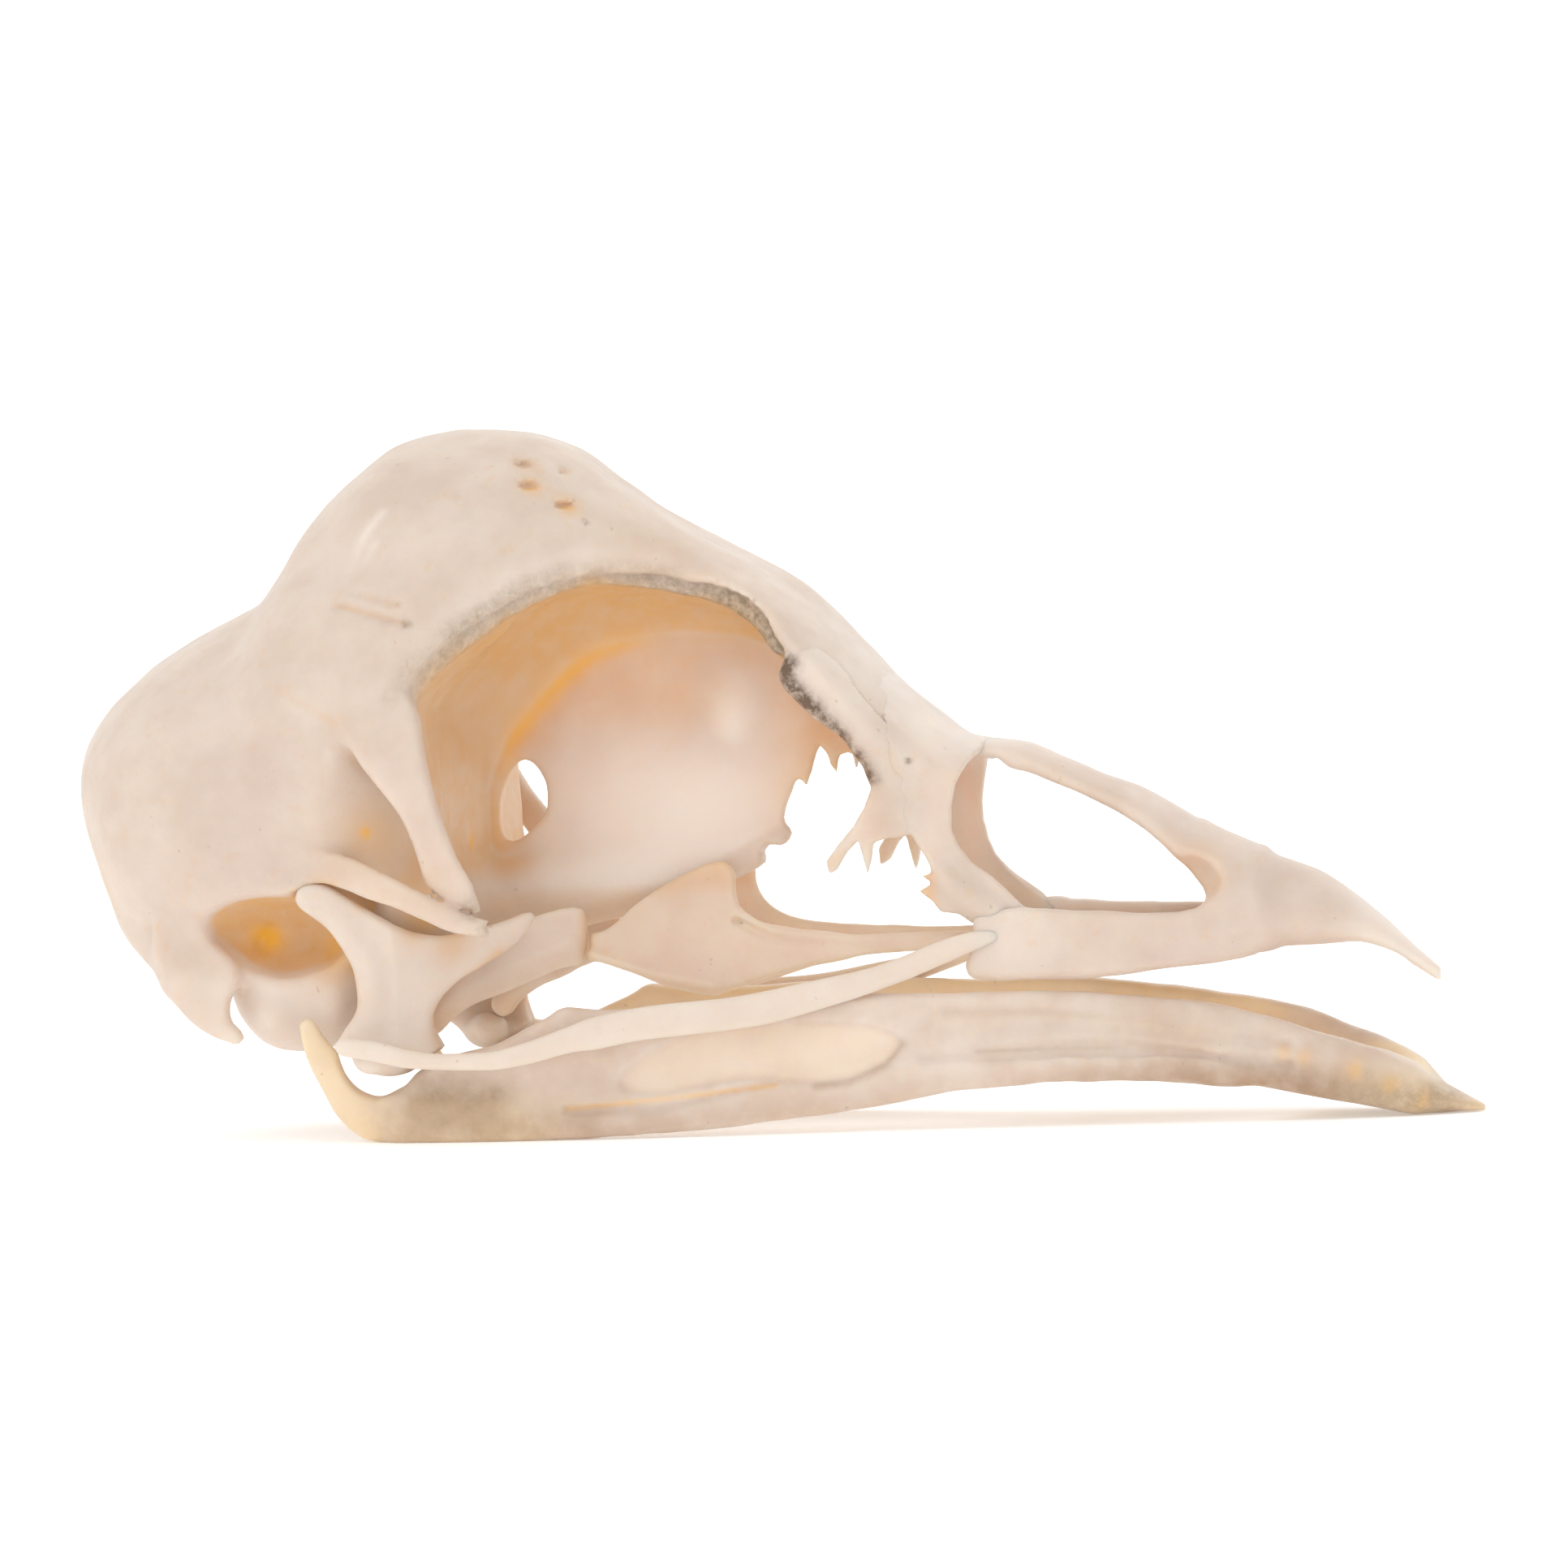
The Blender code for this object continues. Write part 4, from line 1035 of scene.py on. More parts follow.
def cranium_grey_and_shade(points):
    """Grey-brown on the worn ledge over the eye, along the rim, in a groove and on the spurs' ends:
    painted shade in the ledge's recess under the brow and at the spurs' ends, grey mottle along the rim,
    dark pits and a darker groove.
    """
    x, y, z = folded(points).T
    deep = under_skin(x, y, z)
    # Painted shade in the recess under the brow's edge
    ledge = fade(outline_distance(x, z, rounded(ORBIT_LEDGE, 1)), 0.2, -0.15) * fade(deep, 0.2, 0.5)
    ledge *= fade(deep, 1.5, 1.0) * fade(y, 3.0, 4.0) * fade(z, 21.0, 24.5)
    ledge *= 0.5 + 0.4 * fade(x, -8.0, 0.0)
    # Grey mottle along the rim, painted shade at the ledge's front end, and a darker groove
    lines = trails(points, (
        (0.55, 0.25, ((-17.1, 12.3, 22.6), (-16.2, 11.9, 24.0), (-14.4, 10.9, 25.6))),
        (0.5, 0.5, ((-14.3, 10.8, 25.7), (-12.6, 9.8, 26.9), (-10.8, 8.5, 28.0), (-9.0, 6.9, 28.7))),
        (0.35, 0.35, ((-9.0, 6.9, 28.7), (-6.0, 5.8, 28.8), (-3.5, 5.6, 28.5))),
        (0.5, 0.75, ((1.4, 6.2, 24.6), (2.2, 6.3, 23.8), (2.0, 6.3, 22.9))),
        (0.15, 0.4, ((-22.0, 12.6, 22.6), (-21.0, 12.7, 22.1))),
    ))
    # Two dark pits, and painted shade at the spurs' ends
    patches = spots(points, (
        (-16.35, 11.4, 26.35, 0.22, 1.0), (-8.2, 5.9, 31.2, 0.16, 0.9), (-13.0, 12.8, 11.9, 0.7, 0.55),
        (-12.3, 12.8, 10.8, 0.6, 0.45),
    ))
    return np.maximum.reduce([ledge, lines, patches])


def cranium_pale_and_painted_light(points):
    """Pale in the middle of the wall between the eyes, on its lobe, below the ear, on the process, at
    the roof's front and in thin scrapes on the crown and the rim. On the wall, its lobe, below the ear and
    on the processes' inner faces it is painted light on parts that lie in shade; the scrapes are real wear."""
    x, y, z = folded(points).T
    eye, divide, crease = in_orbit(points)
    # Painted light on the shaded wall between the eyes
    wall = fade(under_skin(x, y, z), 0.5, 1.1) * fade(x, -16.0, -14.0) * (y < 4.0) * fade(z, 10.5, 12.0)
    wall *= (1 - crease) * np.exp(-((x + 5.5) / 7.5) ** 2 - (np.maximum(z - 16.5, 0) / 3.4) ** 2)
    lobe = eye * divide * np.exp(-((x + 2.1) / 1.3) ** 2 - ((z - 20.9) / 1.8) ** 2)
    # Painted light below the ear and on the processes' shaded inner faces
    below_ear = fade(z, 8.9, 7.6) * fade(y, 4.5, 6.0) * fade(x, -28.5, -26.5)
    process = fade(y, 11.0, 11.8) * fade(x, -19.5, -17.5) * fade(z, 20.5, 18.5)
    roof = 0.12 * fade(x, 2.0, 5.0)
    scrapes = trails(points, (
        (0.3, 0.6, ((-19.7, 9.7, 29.5), (-19.2, 8.9, 30.8), (-18.3, 8.2, 32.0))),
        (0.25, 0.5, ((-18.9, 9.9, 29.6), (-18.4, 9.4, 30.5))),
        (0.5, 0.35, ((-13.2, 10.4, 27.2), (-10.9, 8.9, 28.9), (-8.0, 6.8, 29.7), (-4.0, 6.0, 29.6))),
        (0.3, 0.4, ((-20.2, 12.9, 19.8), (-20.2, 12.9, 17.9))),
    ))
    return strongest(0.85 * wall, 0.8 * lobe, 0.3 * below_ear, 0.1 * process, roof, scrapes)


def cranium_rose_shade(points):
    """Painted shade: rosy brown in broad soft patches on the side of the braincase, mostly low down."""
    return spots(points, (
        (-24.5, 12.6, 18.5, 3.5, 0.5), (-25.0, 12.0, 14.5, 3.0, 0.6), (-29.5, 11.5, 13.5, 3.0, 0.3),
        (-22.5, 9.0, 6.5, 2.6, 0.4), (-15.5, 12.9, 16.5, 2.0, 0.4), (-16.8, 12.9, 19.0, 1.6, 0.3),
        (-17.0, 11.8, 29.0, 2.5, 0.3),
    ))


def cranium_gloss(points):
    """Smoother and glossier bone in the eye's space and in the ear."""
    return np.maximum(eye_space(*folded(points).T, 0.12, 0.4), spots(points, ((-25.2, 7.6, 10.5, 1.3, 1.0),)))


finished(cranium(), "cranium", (
    "occiput", "frontal", "braincase_base", "interorbital_septum",
), IVORY, {
    "amber": cranium_amber_glow_and_shade, "orange": cranium_orange_glow_and_shade, "grey": cranium_grey_and_shade, "pale": cranium_pale_and_painted_light,
    "rose": cranium_rose_shade, "gloss": cranium_gloss, "seam": near_seam,
})


# The face: lacrimals and nasals, one thin sheet that goes on from the roof and down to the beak

def lacrimal():
    """The face's sheet below the roof's seam and behind the nasal's, without the arch's upper part."""
    bone = Bone((1.0, -7.6, 12.2), (8.6, -4.2, 25.6), SHEET_CELL, half=False)
    x, y, z = bone.everywhere()
    bone.field = np.maximum(face_sheet(x, y, z), past_roof_seam(x, z) - OVERLAP)
    bone.field = np.maximum(bone.field, -OVERLAP - past_nasal_seam(x, z))
    bone.field = np.maximum(bone.field, y + 4.9)
    return bone


def nasal(back=0.0):
    """The face's sheet in front of the nasal's seam, with its upright part set back by so much, and a
    rod down to the beak."""
    bone = Bone((5.2, -6.4, 9.6), (15.2, 0.3, 24.3), SHEET_CELL, half=False)
    x, y, z = bone.everywhere()
    bone.field = face_sheet(x + back * smooth(*np.array(FAR_NASAL_BACK).T, z), y, z)
    bone.add(rod((
        (9.6, -5.0, 12.8, 0.9, 1.1), (10.7, -5.15, 11.7, 1.4, 1.1), (12.2, -5.25, 10.8, 1.2, 1.0),
    )), 0.5)
    past_middle = y - OVERLAP / 2
    bone.field = np.maximum(bone.field, np.maximum(past_nasal_seam(x, z) - OVERLAP, past_middle))
    return bone


def face_amber(points):
    """Amber on the sheet's inner side, at its ragged lower end and along a thin line."""
    x, y, z = folded(points).T
    inner = fade(y, 5.0, 4.6) * fade(z, 19.0, 17.0)
    ragged = fade(x, 9.6, 9.0) * fade(z, 13.2, 12.7) * (x > 7.5)
    line = trails(points, ((0.3, 0.3, ((6.9, 6.2, 21.0), (7.2, 6.0, 19.6), (7.5, 5.8, 18.0))),))
    return np.maximum.reduce([0.22 * inner, 0.6 * ragged, line])


def face_grey(points):
    """Darker along the lacrimal's rear edge and in a pore of the nasal."""
    return trails(points * FLAT, (
        (0.5, 1.3, (
            (2.3, 0.0, 23.7), (2.1, 0.0, 23.1), (2.3, 0.0, 22.6), (3.1, 0.0, 21.8), (3.6, 0.0, 21.3),
        )),
        (0.38, 1.1, ((3.6, 0.0, 21.3), (4.6, 0.0, 20.3), (5.7, 0.0, 18.8), (6.3, 0.0, 17.8))),
        (0.5, 0.3, ((2.9, 0.0, 22.4), (3.6, 0.0, 21.6), (5.0, 0.0, 20.0))),
    )) + spots(points * FLAT, ((8.1, 0.0, 18.6, 0.15, 1.0),))


def face_rose_shade(points):
    """Painted shade: a rosy brown band down the lacrimal's recessed lower part."""
    return 0.6 * trails(points * FLAT, ((1.0, 1.0, ((5.0, 0.0, 18.6), (6.4, 0.0, 17.0), (6.8, 0.0, 15.4))),))


def face_pale(points):
    """Paler above and on the sheet's inner side."""
    x, y, z = folded(points).T
    return 0.25 * fade(x, 7.0, 5.0) * fade(z, 18.0, 20.0) + 0.04 + 0.3 * fade(y, 5.0, 4.6)


FACE_MARKS = {"amber": face_amber, "grey": face_grey, "rose": face_rose_shade, "pale": face_pale, "seam": near_seam}
both_sides(lacrimal, "lacrimal", THIN, FACE_MARKS)
both_sides(nasal, "nasal", THIN, FACE_MARKS, lambda: nasal(1.0))


# The upper beak

BRIDGE = (
    (10.9, 19.55, 18.6, 1.9, 18.9), (13.0, 19.3, 17.9, 2.1, 18.5), (15.0, 18.5, 16.8, 2.3, 17.5),
    (17.0, 17.6, 15.9, 2.5, 16.6), (19.0, 16.8, 14.7, 2.9, 15.6), (21.0, 15.6, 12.6, 3.4, 14.0),
    (23.0, 14.3, 10.6, 3.8, 12.2), (25.0, 13.4, 9.6, 3.4, 11.0),
)
BEAK_FRONT = (
    (22.3, 14.6, 7.9, 4.3, 9.6), (24.0, 13.8, 8.0, 3.9, 9.6), (26.0, 13.1, 8.3, 3.4, 9.7),
    (28.0, 12.4, 8.5, 2.8, 9.7), (30.0, 11.2, 8.6, 2.15, 9.5), (31.5, 9.9, 8.2, 1.5, 8.9),
    (33.0, 8.4, 7.4, 0.9, 7.9), (34.1, 7.35, 6.7, 0.35, 7.0),
)
BEAK_BAR = (
    (11.1, 10.6), (11.2, 10.0), (11.0, 9.2), (10.8, 8.5), (10.6, 8.2), (10.8, 7.5), (11.4, 7.4), (13.1, 7.4),
    (15.6, 7.4), (19.0, 7.5), (22.5, 7.9), (26.0, 8.3), (26.0, 11.8), (23.8, 11.4), (22.0, 10.7),
    (18.5, 10.8),
    (16.0, 10.95), (14.0, 11.1), (12.0, 10.9),
)
NOSTRIL = (
    (11.4, 18.7), (12.4, 18.5), (12.75, 18.0), (13.3, 17.7), (15.3, 17.0), (17.0, 16.2), (18.6, 15.4),
    (20.2, 14.4), (21.6, 12.9), (22.3, 11.9), (22.75, 11.2), (22.3, 10.75), (18.5, 10.85), (16.0, 11.0),
    (13.6, 11.0), (12.0, 14.0),
)
BEAK_BAR_MIDDLE = ((10.0, -5.1), (13.0, -5.25), (17.0, -4.95), (21.0, -4.25), (24.0, -3.3), (27.0, -2.2))


def upper_beak():
    """The bridge over the nostrils, the bars below them, the palate and the hooked tip, less the
    nostrils, the palate's hollows and a furrow above the edge."""
    bone = Bone((9.8, -6.4, 6.2), (34.6, 0.0, 20.2), BEAK_CELL)
    bone.add(body(BEAK_FRONT), 0.05)
    bone.add(body(BRIDGE), 1.2)
    bone.add(sheet(rounded(BEAK_BAR), lambda x, z: smooth(*np.array(BEAK_BAR_MIDDLE).T, x), 0.62, 0.5), 0.9)
    bone.add(ball((19.5, 0.0, 8.35), (6.5, 4.3, 0.45)), 0.5)
    bone.cut(prism(rounded(NOSTRIL, 1), -9.0, 1.0), 0.35)
    bone.cut(ball((22.2, -4.1, 12.4), (1.5, 1.3, 1.2)), 0.4)
    bone.cut(ball((22.0, 0.0, 11.0), (3.0, 2.4, 1.8)), 0.6)
    bone.cut(ball((27.5, 0.0, 7.6), (5.0, 2.0, 1.3)), 0.4)
    bone.swell((12.8, -1.8, 18.2), (0.9, 0.7, 0.5), 0.3)
    bone.swell((25.5, -3.4, 11.2), (2.0, 1.0, 0.8), -0.15)
    bone.cut(rod((
        (24.2, -4.2, 9.2, 0.2, 0.3), (28.0, -3.2, 9.5, 0.25, 0.3), (31.0, -2.0, 9.4, 0.15, 0.3),
    )), 0.3)
    bone.mirror()
    bone.weather()
    return bone


def beak_amber(points):
    """Amber inside the nostrils and on their front corner."""
    x, y, z = folded(points).T
    inside = fade(y, 3.9, 3.1) * fade(x, 25.0, 22.0) * fade(z, 15.0, 13.0) * fade(z, 8.7, 9.4)
    return np.maximum(0.4 * inside, spots(points, ((22.9, 3.6, 12.2, 0.9, 0.5),)))


def beak_rose(points):
    """A rosy brown tint over the middle of the beak and along its lower edge."""
    x, z = points[:, 0], points[:, 2]
    return 0.3 * fade(x, 17.0, 21.0) * fade(x, 31.0, 28.0) + 0.2 * fade(z, 9.4, 8.2) * fade(x, 11.0, 13.0)


def beak_pale(points):
    """Pale at the tip and at the rear."""
    x = points[:, 0]
    return 0.5 * fade(x, 28.5, 31.5) + 0.3 * fade(x, 17.0, 12.0)


finished(upper_beak(), "upper_beak_bone", ("upper_beak",), IVORY, {
    "amber": beak_amber, "rose": beak_rose, "pale": beak_pale, "seam": near_seam,
})


# The struts between the braincase and the jaw

QUADRATE = (
    (-22.5, 12.6), (-22.2, 13.2), (-21.3, 13.4), (-20.0, 12.9), (-18.8, 11.9), (-17.1, 10.8), (-15.9, 10.4),
    (-14.4, 10.5), (-12.9, 10.9), (-11.5, 11.5), (-11.3, 11.0), (-12.5, 9.6), (-13.8, 8.8), (-15.1, 8.0),
    (-15.8, 7.2), (-16.1, 6.2), (-15.9, 5.3), (-15.6, 4.7), (-16.9, 4.2), (-19.9, 4.6), (-20.8, 5.2),
    (-20.3, 5.7), (-19.6, 6.5), (-19.4, 7.4), (-19.5, 8.3), (-19.8, 9.4), (-20.3, 10.4), (-20.9, 11.2),
    (-21.7, 11.7), (-22.3, 12.1),
)
PTERYGOID = (
    (-17.4, 5.6), (-16.9, 6.8), (-16.0, 7.8), (-14.6, 9.0), (-13.3, 10.1), (-12.3, 10.9), (-11.0, 11.4),
    (-9.7, 11.5), (-9.4, 11.0), (-9.35, 9.3), (-9.6, 8.5), (-10.7, 8.35), (-11.7, 7.95), (-12.8, 7.4),
    (-14.8, 6.9), (-15.8, 6.5), (-16.6, 5.3),
)
PALATINE = (
    (-9.2, 8.6), (-9.35, 10.2), (-8.8, 10.2), (-8.0, 10.7), (-7.2, 11.5), (-5.8, 12.4), (-4.2, 13.1),
    (-2.6, 13.7), (-1.8, 13.3), (-1.8, 12.1), (-1.4, 11.2), (-0.5, 10.6), (0.6, 10.25), (2.0, 10.05),
    (4.2, 9.85), (6.6, 9.85), (10.8, 9.8), (13.0, 9.5), (15.6, 9.1), (15.6, 8.5), (10.8, 8.95), (7.0, 8.9),
    (4.0, 8.5), (0.8, 7.9), (-1.7, 7.1), (-2.8, 6.9), (-4.8, 7.3), (-6.4, 7.9), (-7.6, 8.6), (-8.6, 8.8),
)
JUGAL = (
    (-20.5, -12.7, 5.15, 0.55, 0.6), (-19.9, -12.7, 5.05, 0.95, 0.85), (-18.2, -12.7, 4.75, 1.0, 0.85),
    (-16.7, -12.65, 4.4, 0.95, 0.8), (-15.0, -12.6, 4.25, 0.85, 0.75), (-12.5, -12.4, 4.2, 0.9, 0.75),
    (-10.9, -12.2, 4.45, 1.05, 0.75), (-8.4, -11.8, 5.2, 1.35, 0.75),
    (-7.2, -11.45, 5.5, 1.65, 0.75), (-5.4, -11.0, 5.8, 1.6, 0.75), (-2.5, -10.3, 6.05, 1.7, 0.75),
    (1.2, -9.2, 6.5, 1.6, 0.75), (4.6, -8.1, 7.2, 1.45, 0.75), (7.4, -7.0, 8.05, 1.15, 0.75),
    (9.7, -6.2, 8.9, 1.15, 0.75), (11.2, -5.9, 9.4, 1.0, 0.7), (12.6, -5.75, 9.75, 0.5, 0.5),
)


def quadrate_middle(x, z):
    """Where the quadrate's plate lies: inwards to the front, and outwards above its ear end."""
    ear_end = 1 - np.clip((x + 18) / 4, 0, 1)
    return -10.7 + 0.62 * np.maximum(x + 17.6, 0) - 0.28 * np.maximum(z - 9.0, 0) * ear_end


def quadrate():
    """A wide plate with its ear end, its blade and its jaw knuckle."""
    bone = Bone((-23.2, -13.4, 2.9), (-10.8, -5.2, 14.0), QUADRATE_CELL, half=False)
    bone.add(sheet(
        rounded(QUADRATE, 1), quadrate_middle,
        lambda x, z: 0.5 + 0.25 * np.clip(6.5 - z, 0, 2) + 0.25 * np.clip((-18.5 - x) / 2, 0, 1), 0.35), 0.1)
    bone.add(rod((
        (-21.3, -11.7, 12.7, 1.2, 1.3), (-20.1, -11.3, 11.0, 0.9, 1.2), (-18.9, -11.0, 8.8, 0.9, 1.2),
        (-18.8, -10.8, 7.0, 1.1, 1.4), (-19.3, -10.8, 5.6, 1.3, 1.7),
    )), 1.0)
    bone.add(rod((
        (-18.9, -11.8, 4.45, 1.7, 1.9), (-18.2, -9.6, 4.4, 1.9, 2.6), (-17.6, -7.9, 4.7, 1.6, 1.8),
    ), side=(1.0, 0.0, 0.0), pieces=8), 0.7)
    bone.swell((-17.3, -11.4, 7.3), (1.2, 0.9, 1.6), -0.25)
    return bone


def pterygoid():
    """A broad strut that leans inwards from the jaw joint to the keel, with a ridge along it."""
    bone = Bone((-18.0, -9.0, 4.2), (-8.9, -1.9, 12.2), SHEET_CELL, half=False)
    bone.add(sheet(rounded(PTERYGOID, 1), lambda x, z: -4.0 + 0.58 * (x + 10.4), 0.45, 0.25), 0.1)
    bone.add(rod((
        (-16.8, -7.7, 6.0, 1.0, 1.1), (-14.8, -6.4, 7.5, 0.8, 1.2), (-12.6, -5.2, 8.7, 0.8, 1.2),
        (-10.4, -4.0, 9.6, 0.8, 1.0),
    )), 0.8)
    return bone


def palatine():
    """A leaning plate beside the keel and the long thin strip that it sends forward to the palate."""
    bone = Bone((-10.1, -5.6, 6.3), (16.2, -1.0, 14.0), SHEET_CELL, half=False)
    bone.add(sheet(rounded(PALATINE, 1), lambda x, z: -6.9 + 0.36 * np.clip(z, 6.5, 12.5), 0.36, 0.3), 0.1)
    bone.add(rod((
        (-9.0, -4.0, 9.0, 0.7, 0.8), (-6.2, -4.2, 8.1, 0.6, 0.8), (-2.6, -4.5, 7.3, 0.6, 0.8),
    )), 0.4)
    bone.cut(rod(((-1.6, -3.3, 10.6, 0.3, 0.5), (1.0, -3.9, 9.6, 0.4, 0.5), (5.0, -4.2, 9.3, 0.3, 0.4))), 0.3)
    return bone


def swept_bar(rows, rings=150, around=24, side=(0.0, 1.0, 0.0)):
    """An oval profile carried along a path: at each step t along the smooth path and each angle a, the
    point is path(t) + up cos(a) breadth / 2 + across sin(a) thickness / 2. Low waves of t and a make it
    uneven, a quarter circle over the last hundredth draws it in, and a row of faces closes each end."""
    end_share, end_least = 0.012, 0.02
    rows = smooth_rows(rows, rings)
    path, breadth, thick = rows[:, :3], rows[:, 3], rows[:, 4]
    ahead = np.gradient(path, axis=0)
    ahead /= np.linalg.norm(ahead, axis=1, keepdims=True)
    side = np.asarray(side, float)
    across = side - ahead * (ahead @ side)[:, None]
    across /= np.linalg.norm(across, axis=1, keepdims=True)
    up = np.cross(ahead, across)
    t = np.linspace(0.0, 1.0, rings)
    near_end = np.clip(np.minimum(t, 1 - t) / end_share, 0, 1)
    ends = np.maximum(np.sqrt(near_end * (2 - near_end)), end_least)
    angle = np.linspace(0.0, 2 * np.pi, around, endpoint=False)
    wave = 1 + 0.05 * np.sin(9.0 * t[:, None] * np.pi + angle) + 0.03 * np.sin(31.0 * t[:, None] + 2 * angle)
    points = (
        path[:, None] + up[:, None] * (breadth[:, None] / 2 * ends[:, None] * wave * np.cos(angle))[..., None]
        + across[:, None] * (thick[:, None] / 2 * ends[:, None] * wave * np.sin(angle))[..., None]
    )
    here = np.arange(around)
    there = np.roll(here, -1)
    ring = np.arange(rings - 1)[:, None] * around
    walls = np.stack([ring + here, ring + around + here, ring + around + there, ring + there], axis=2)
    step = np.arange(around // 2 - 1)
    cap = np.stack([step, step + 1, around - 2 - step, around - 1 - step], axis=1)
    faces = np.concatenate([walls.reshape(-1, 4), cap[:, ::-1], cap + (rings - 1) * around])
    return points.reshape(-1, 3), faces


def jugal_bar(side):
    """The cheek bar of one side. The left one is the right one's mirror image."""
    points, faces = swept_bar(JUGAL)
    if side == "left":
        points, faces = points * MIRROR, faces[:, ::-1]
    marks = {"hollow": np.full(len(points), 0.4), "pale": np.full(len(points), 0.35)}
    placed(mesh_piece(f"jugal_bar_{side}", points, faces, marks), (f"jugal_{side}",), IVORY)


def quadrate_amber_shade(points):
    """Painted shade in amber along the plate's upper, rear and front edges, where it meets the bones
    around it, and under the spur above it.
    """
    return np.maximum(trails(points, (
        (0.35, 0.8, ((-22.5, 11.8, 12.4), (-22.0, 11.8, 13.3), (-20.5, 11.8, 13.2), (-19.2, 11.6, 12.0))),
        (0.3, 0.55, ((-22.3, 11.7, 12.2), (-20.8, 11.4, 10.8), (-19.6, 11.2, 8.3), (-19.5, 11.0, 6.5))),
        (0.4, 0.6, ((-12.9, 8.2, 9.4), (-14.8, 8.6, 8.2), (-16.1, 9.3, 7.0), (-16.1, 10.0, 5.0))),
    )), spots(points, ((-15.2, 9.2, 10.1, 1.0, 0.8), (-16.8, 10.6, 10.8, 0.8, 0.6))))


def strut_painted_light(points):
    """Painted light: a little paler all over, for the light that reaches the struts below the skull."""
    return np.full(len(points), 0.2)


def pterygoid_amber(points):
    """Amber at both ends."""
    x = points[:, 0]
    return np.maximum(0.5 * fade(x, -9.9, -9.4), 0.35 * fade(x, -14.0, -16.5))


def palatine_amber(points):
    """Amber at the rear end and on the upper corner."""
    x, z = points[:, 0], points[:, 2]
    return np.clip(0.12 + 0.5 * fade(x, -8.7, -9.3) + 0.35 * fade(x, -1.0, -2.2) * fade(z, 11.6, 12.6), 0, 1)


both_sides(quadrate, "quadrate", IVORY, {"amber": quadrate_amber_shade, "pale": strut_painted_light})
both_sides(pterygoid, "pterygoid", THIN, {"amber": pterygoid_amber, "pale": strut_painted_light})
both_sides(palatine, "palatine", THIN, {"amber": palatine_amber, "pale": strut_painted_light})
for side in ("right", "left"):
    jugal_bar(side)


# The lower jaw

JAW_SIDE = (
    (-16.6, 3.7), (-15.0, 4.4), (-13.0, 4.9), (-11.6, 5.6), (-10.2, 6.2), (-9.4, 6.75), (-8.4, 6.65),
    (-7.0, 6.5), (-3.5, 6.6), (0.0, 6.8), (4.0, 6.95), (8.7, 6.9), (12.9, 6.9), (17.1, 6.7), (21.2, 6.25),
    (23.7, 5.85), (26.2, 5.25), (28.6, 4.4), (31.1, 3.5), (33.5, 2.2), (33.5, 0.2), (31.3, 0.5), (28.2, 1.1),
    (25.0, 1.9), (21.8, 2.35), (15.4, 2.4), (12.2, 2.2), (8.9, 1.8), (5.7, 1.2), (2.4, 0.8), (-0.8, 0.5),
    (-4.1, 0.25), (-10.7, 0.0), (-17.4, -0.05), (-18.6, 0.2), (-18.6, 2.6),
)
JAW_TIP = (
    (26.5, 5.3, 1.5, 4.9, 3.5), (28.2, 4.8, 1.0, 4.5, 3.1), (29.5, 4.3, 0.6, 4.1, 2.7),
    (32.0, 2.9, 0.1, 3.1, 1.6),
    (34.0, 1.6, 0.0, 2.1, 0.8), (35.6, 0.75, 0.0, 1.0, 0.4), (36.35, 0.35, 0.02, 0.25, 0.2),
)
JAW_OUTER = (
    (-20.0, -9.8), (-17.0, -10.6), (-12.0, -10.65), (-8.0, -10.3), (-4.0, -9.8), (-0.8, -9.2), (2.4, -8.6),
    (5.7, -8.05), (8.9, -7.5), (12.2, -7.0), (15.4, -6.5), (21.8, -5.45), (25.0, -4.95), (28.2, -4.4),
    (31.3, -3.3),
    (34.0, -2.0),
)
FENESTRA = (
    (-3.6, 5.0), (-1.8, 5.5), (2.0, 5.7), (5.7, 5.5), (7.4, 5.0), (7.8, 4.3), (7.0, 3.4), (5.2, 2.7),
    (3.5, 2.5), (2.0, 2.7), (0.0, 2.9), (-2.3, 2.5), (-4.9, 2.1), (-6.5, 2.6), (-6.0, 3.6),
)


# Half the thickness of a side of the jaw at each x: stout at the joint, thin in the middle
JAW_HALF = (
    (-20.0, 1.2), (-17.0, 1.35), (-14.0, 1.1), (-10.0, 0.78), (0.0, 0.68), (10.0, 0.72),
    (20.0, 0.8), (28.0, 0.8),
)
FURROWS = (
    ((-9.0, -10.6, 1.5, 0.2, 0.3), (-5.1, -10.2, 1.5, 0.3, 0.3), (1.5, -8.9, 2.7, 0.2, 0.3)),
    ((7.0, -8.0, 5.6, 0.4, 0.3), (14.0, -6.9, 5.6, 0.8, 0.45), (20.0, -5.9, 5.0, 0.8, 0.5),
     (27.0, -4.8, 3.9, 0.3, 0.3)),
    ((9.0, -7.6, 3.7, 0.3, 0.25), (18.0, -6.1, 3.9, 0.6, 0.35), (27.0, -4.8, 2.8, 0.4, 0.3)),
)


def jaw_half(x, z):
    """Half the thickness of a side of the jaw at x, the same at every height z."""
    return smooth(*np.array(JAW_HALF).T, x)


def jaw_outer(x):
    """The y of the jaw's outer side on the right."""
    return smooth(*np.array(JAW_OUTER).T, x)


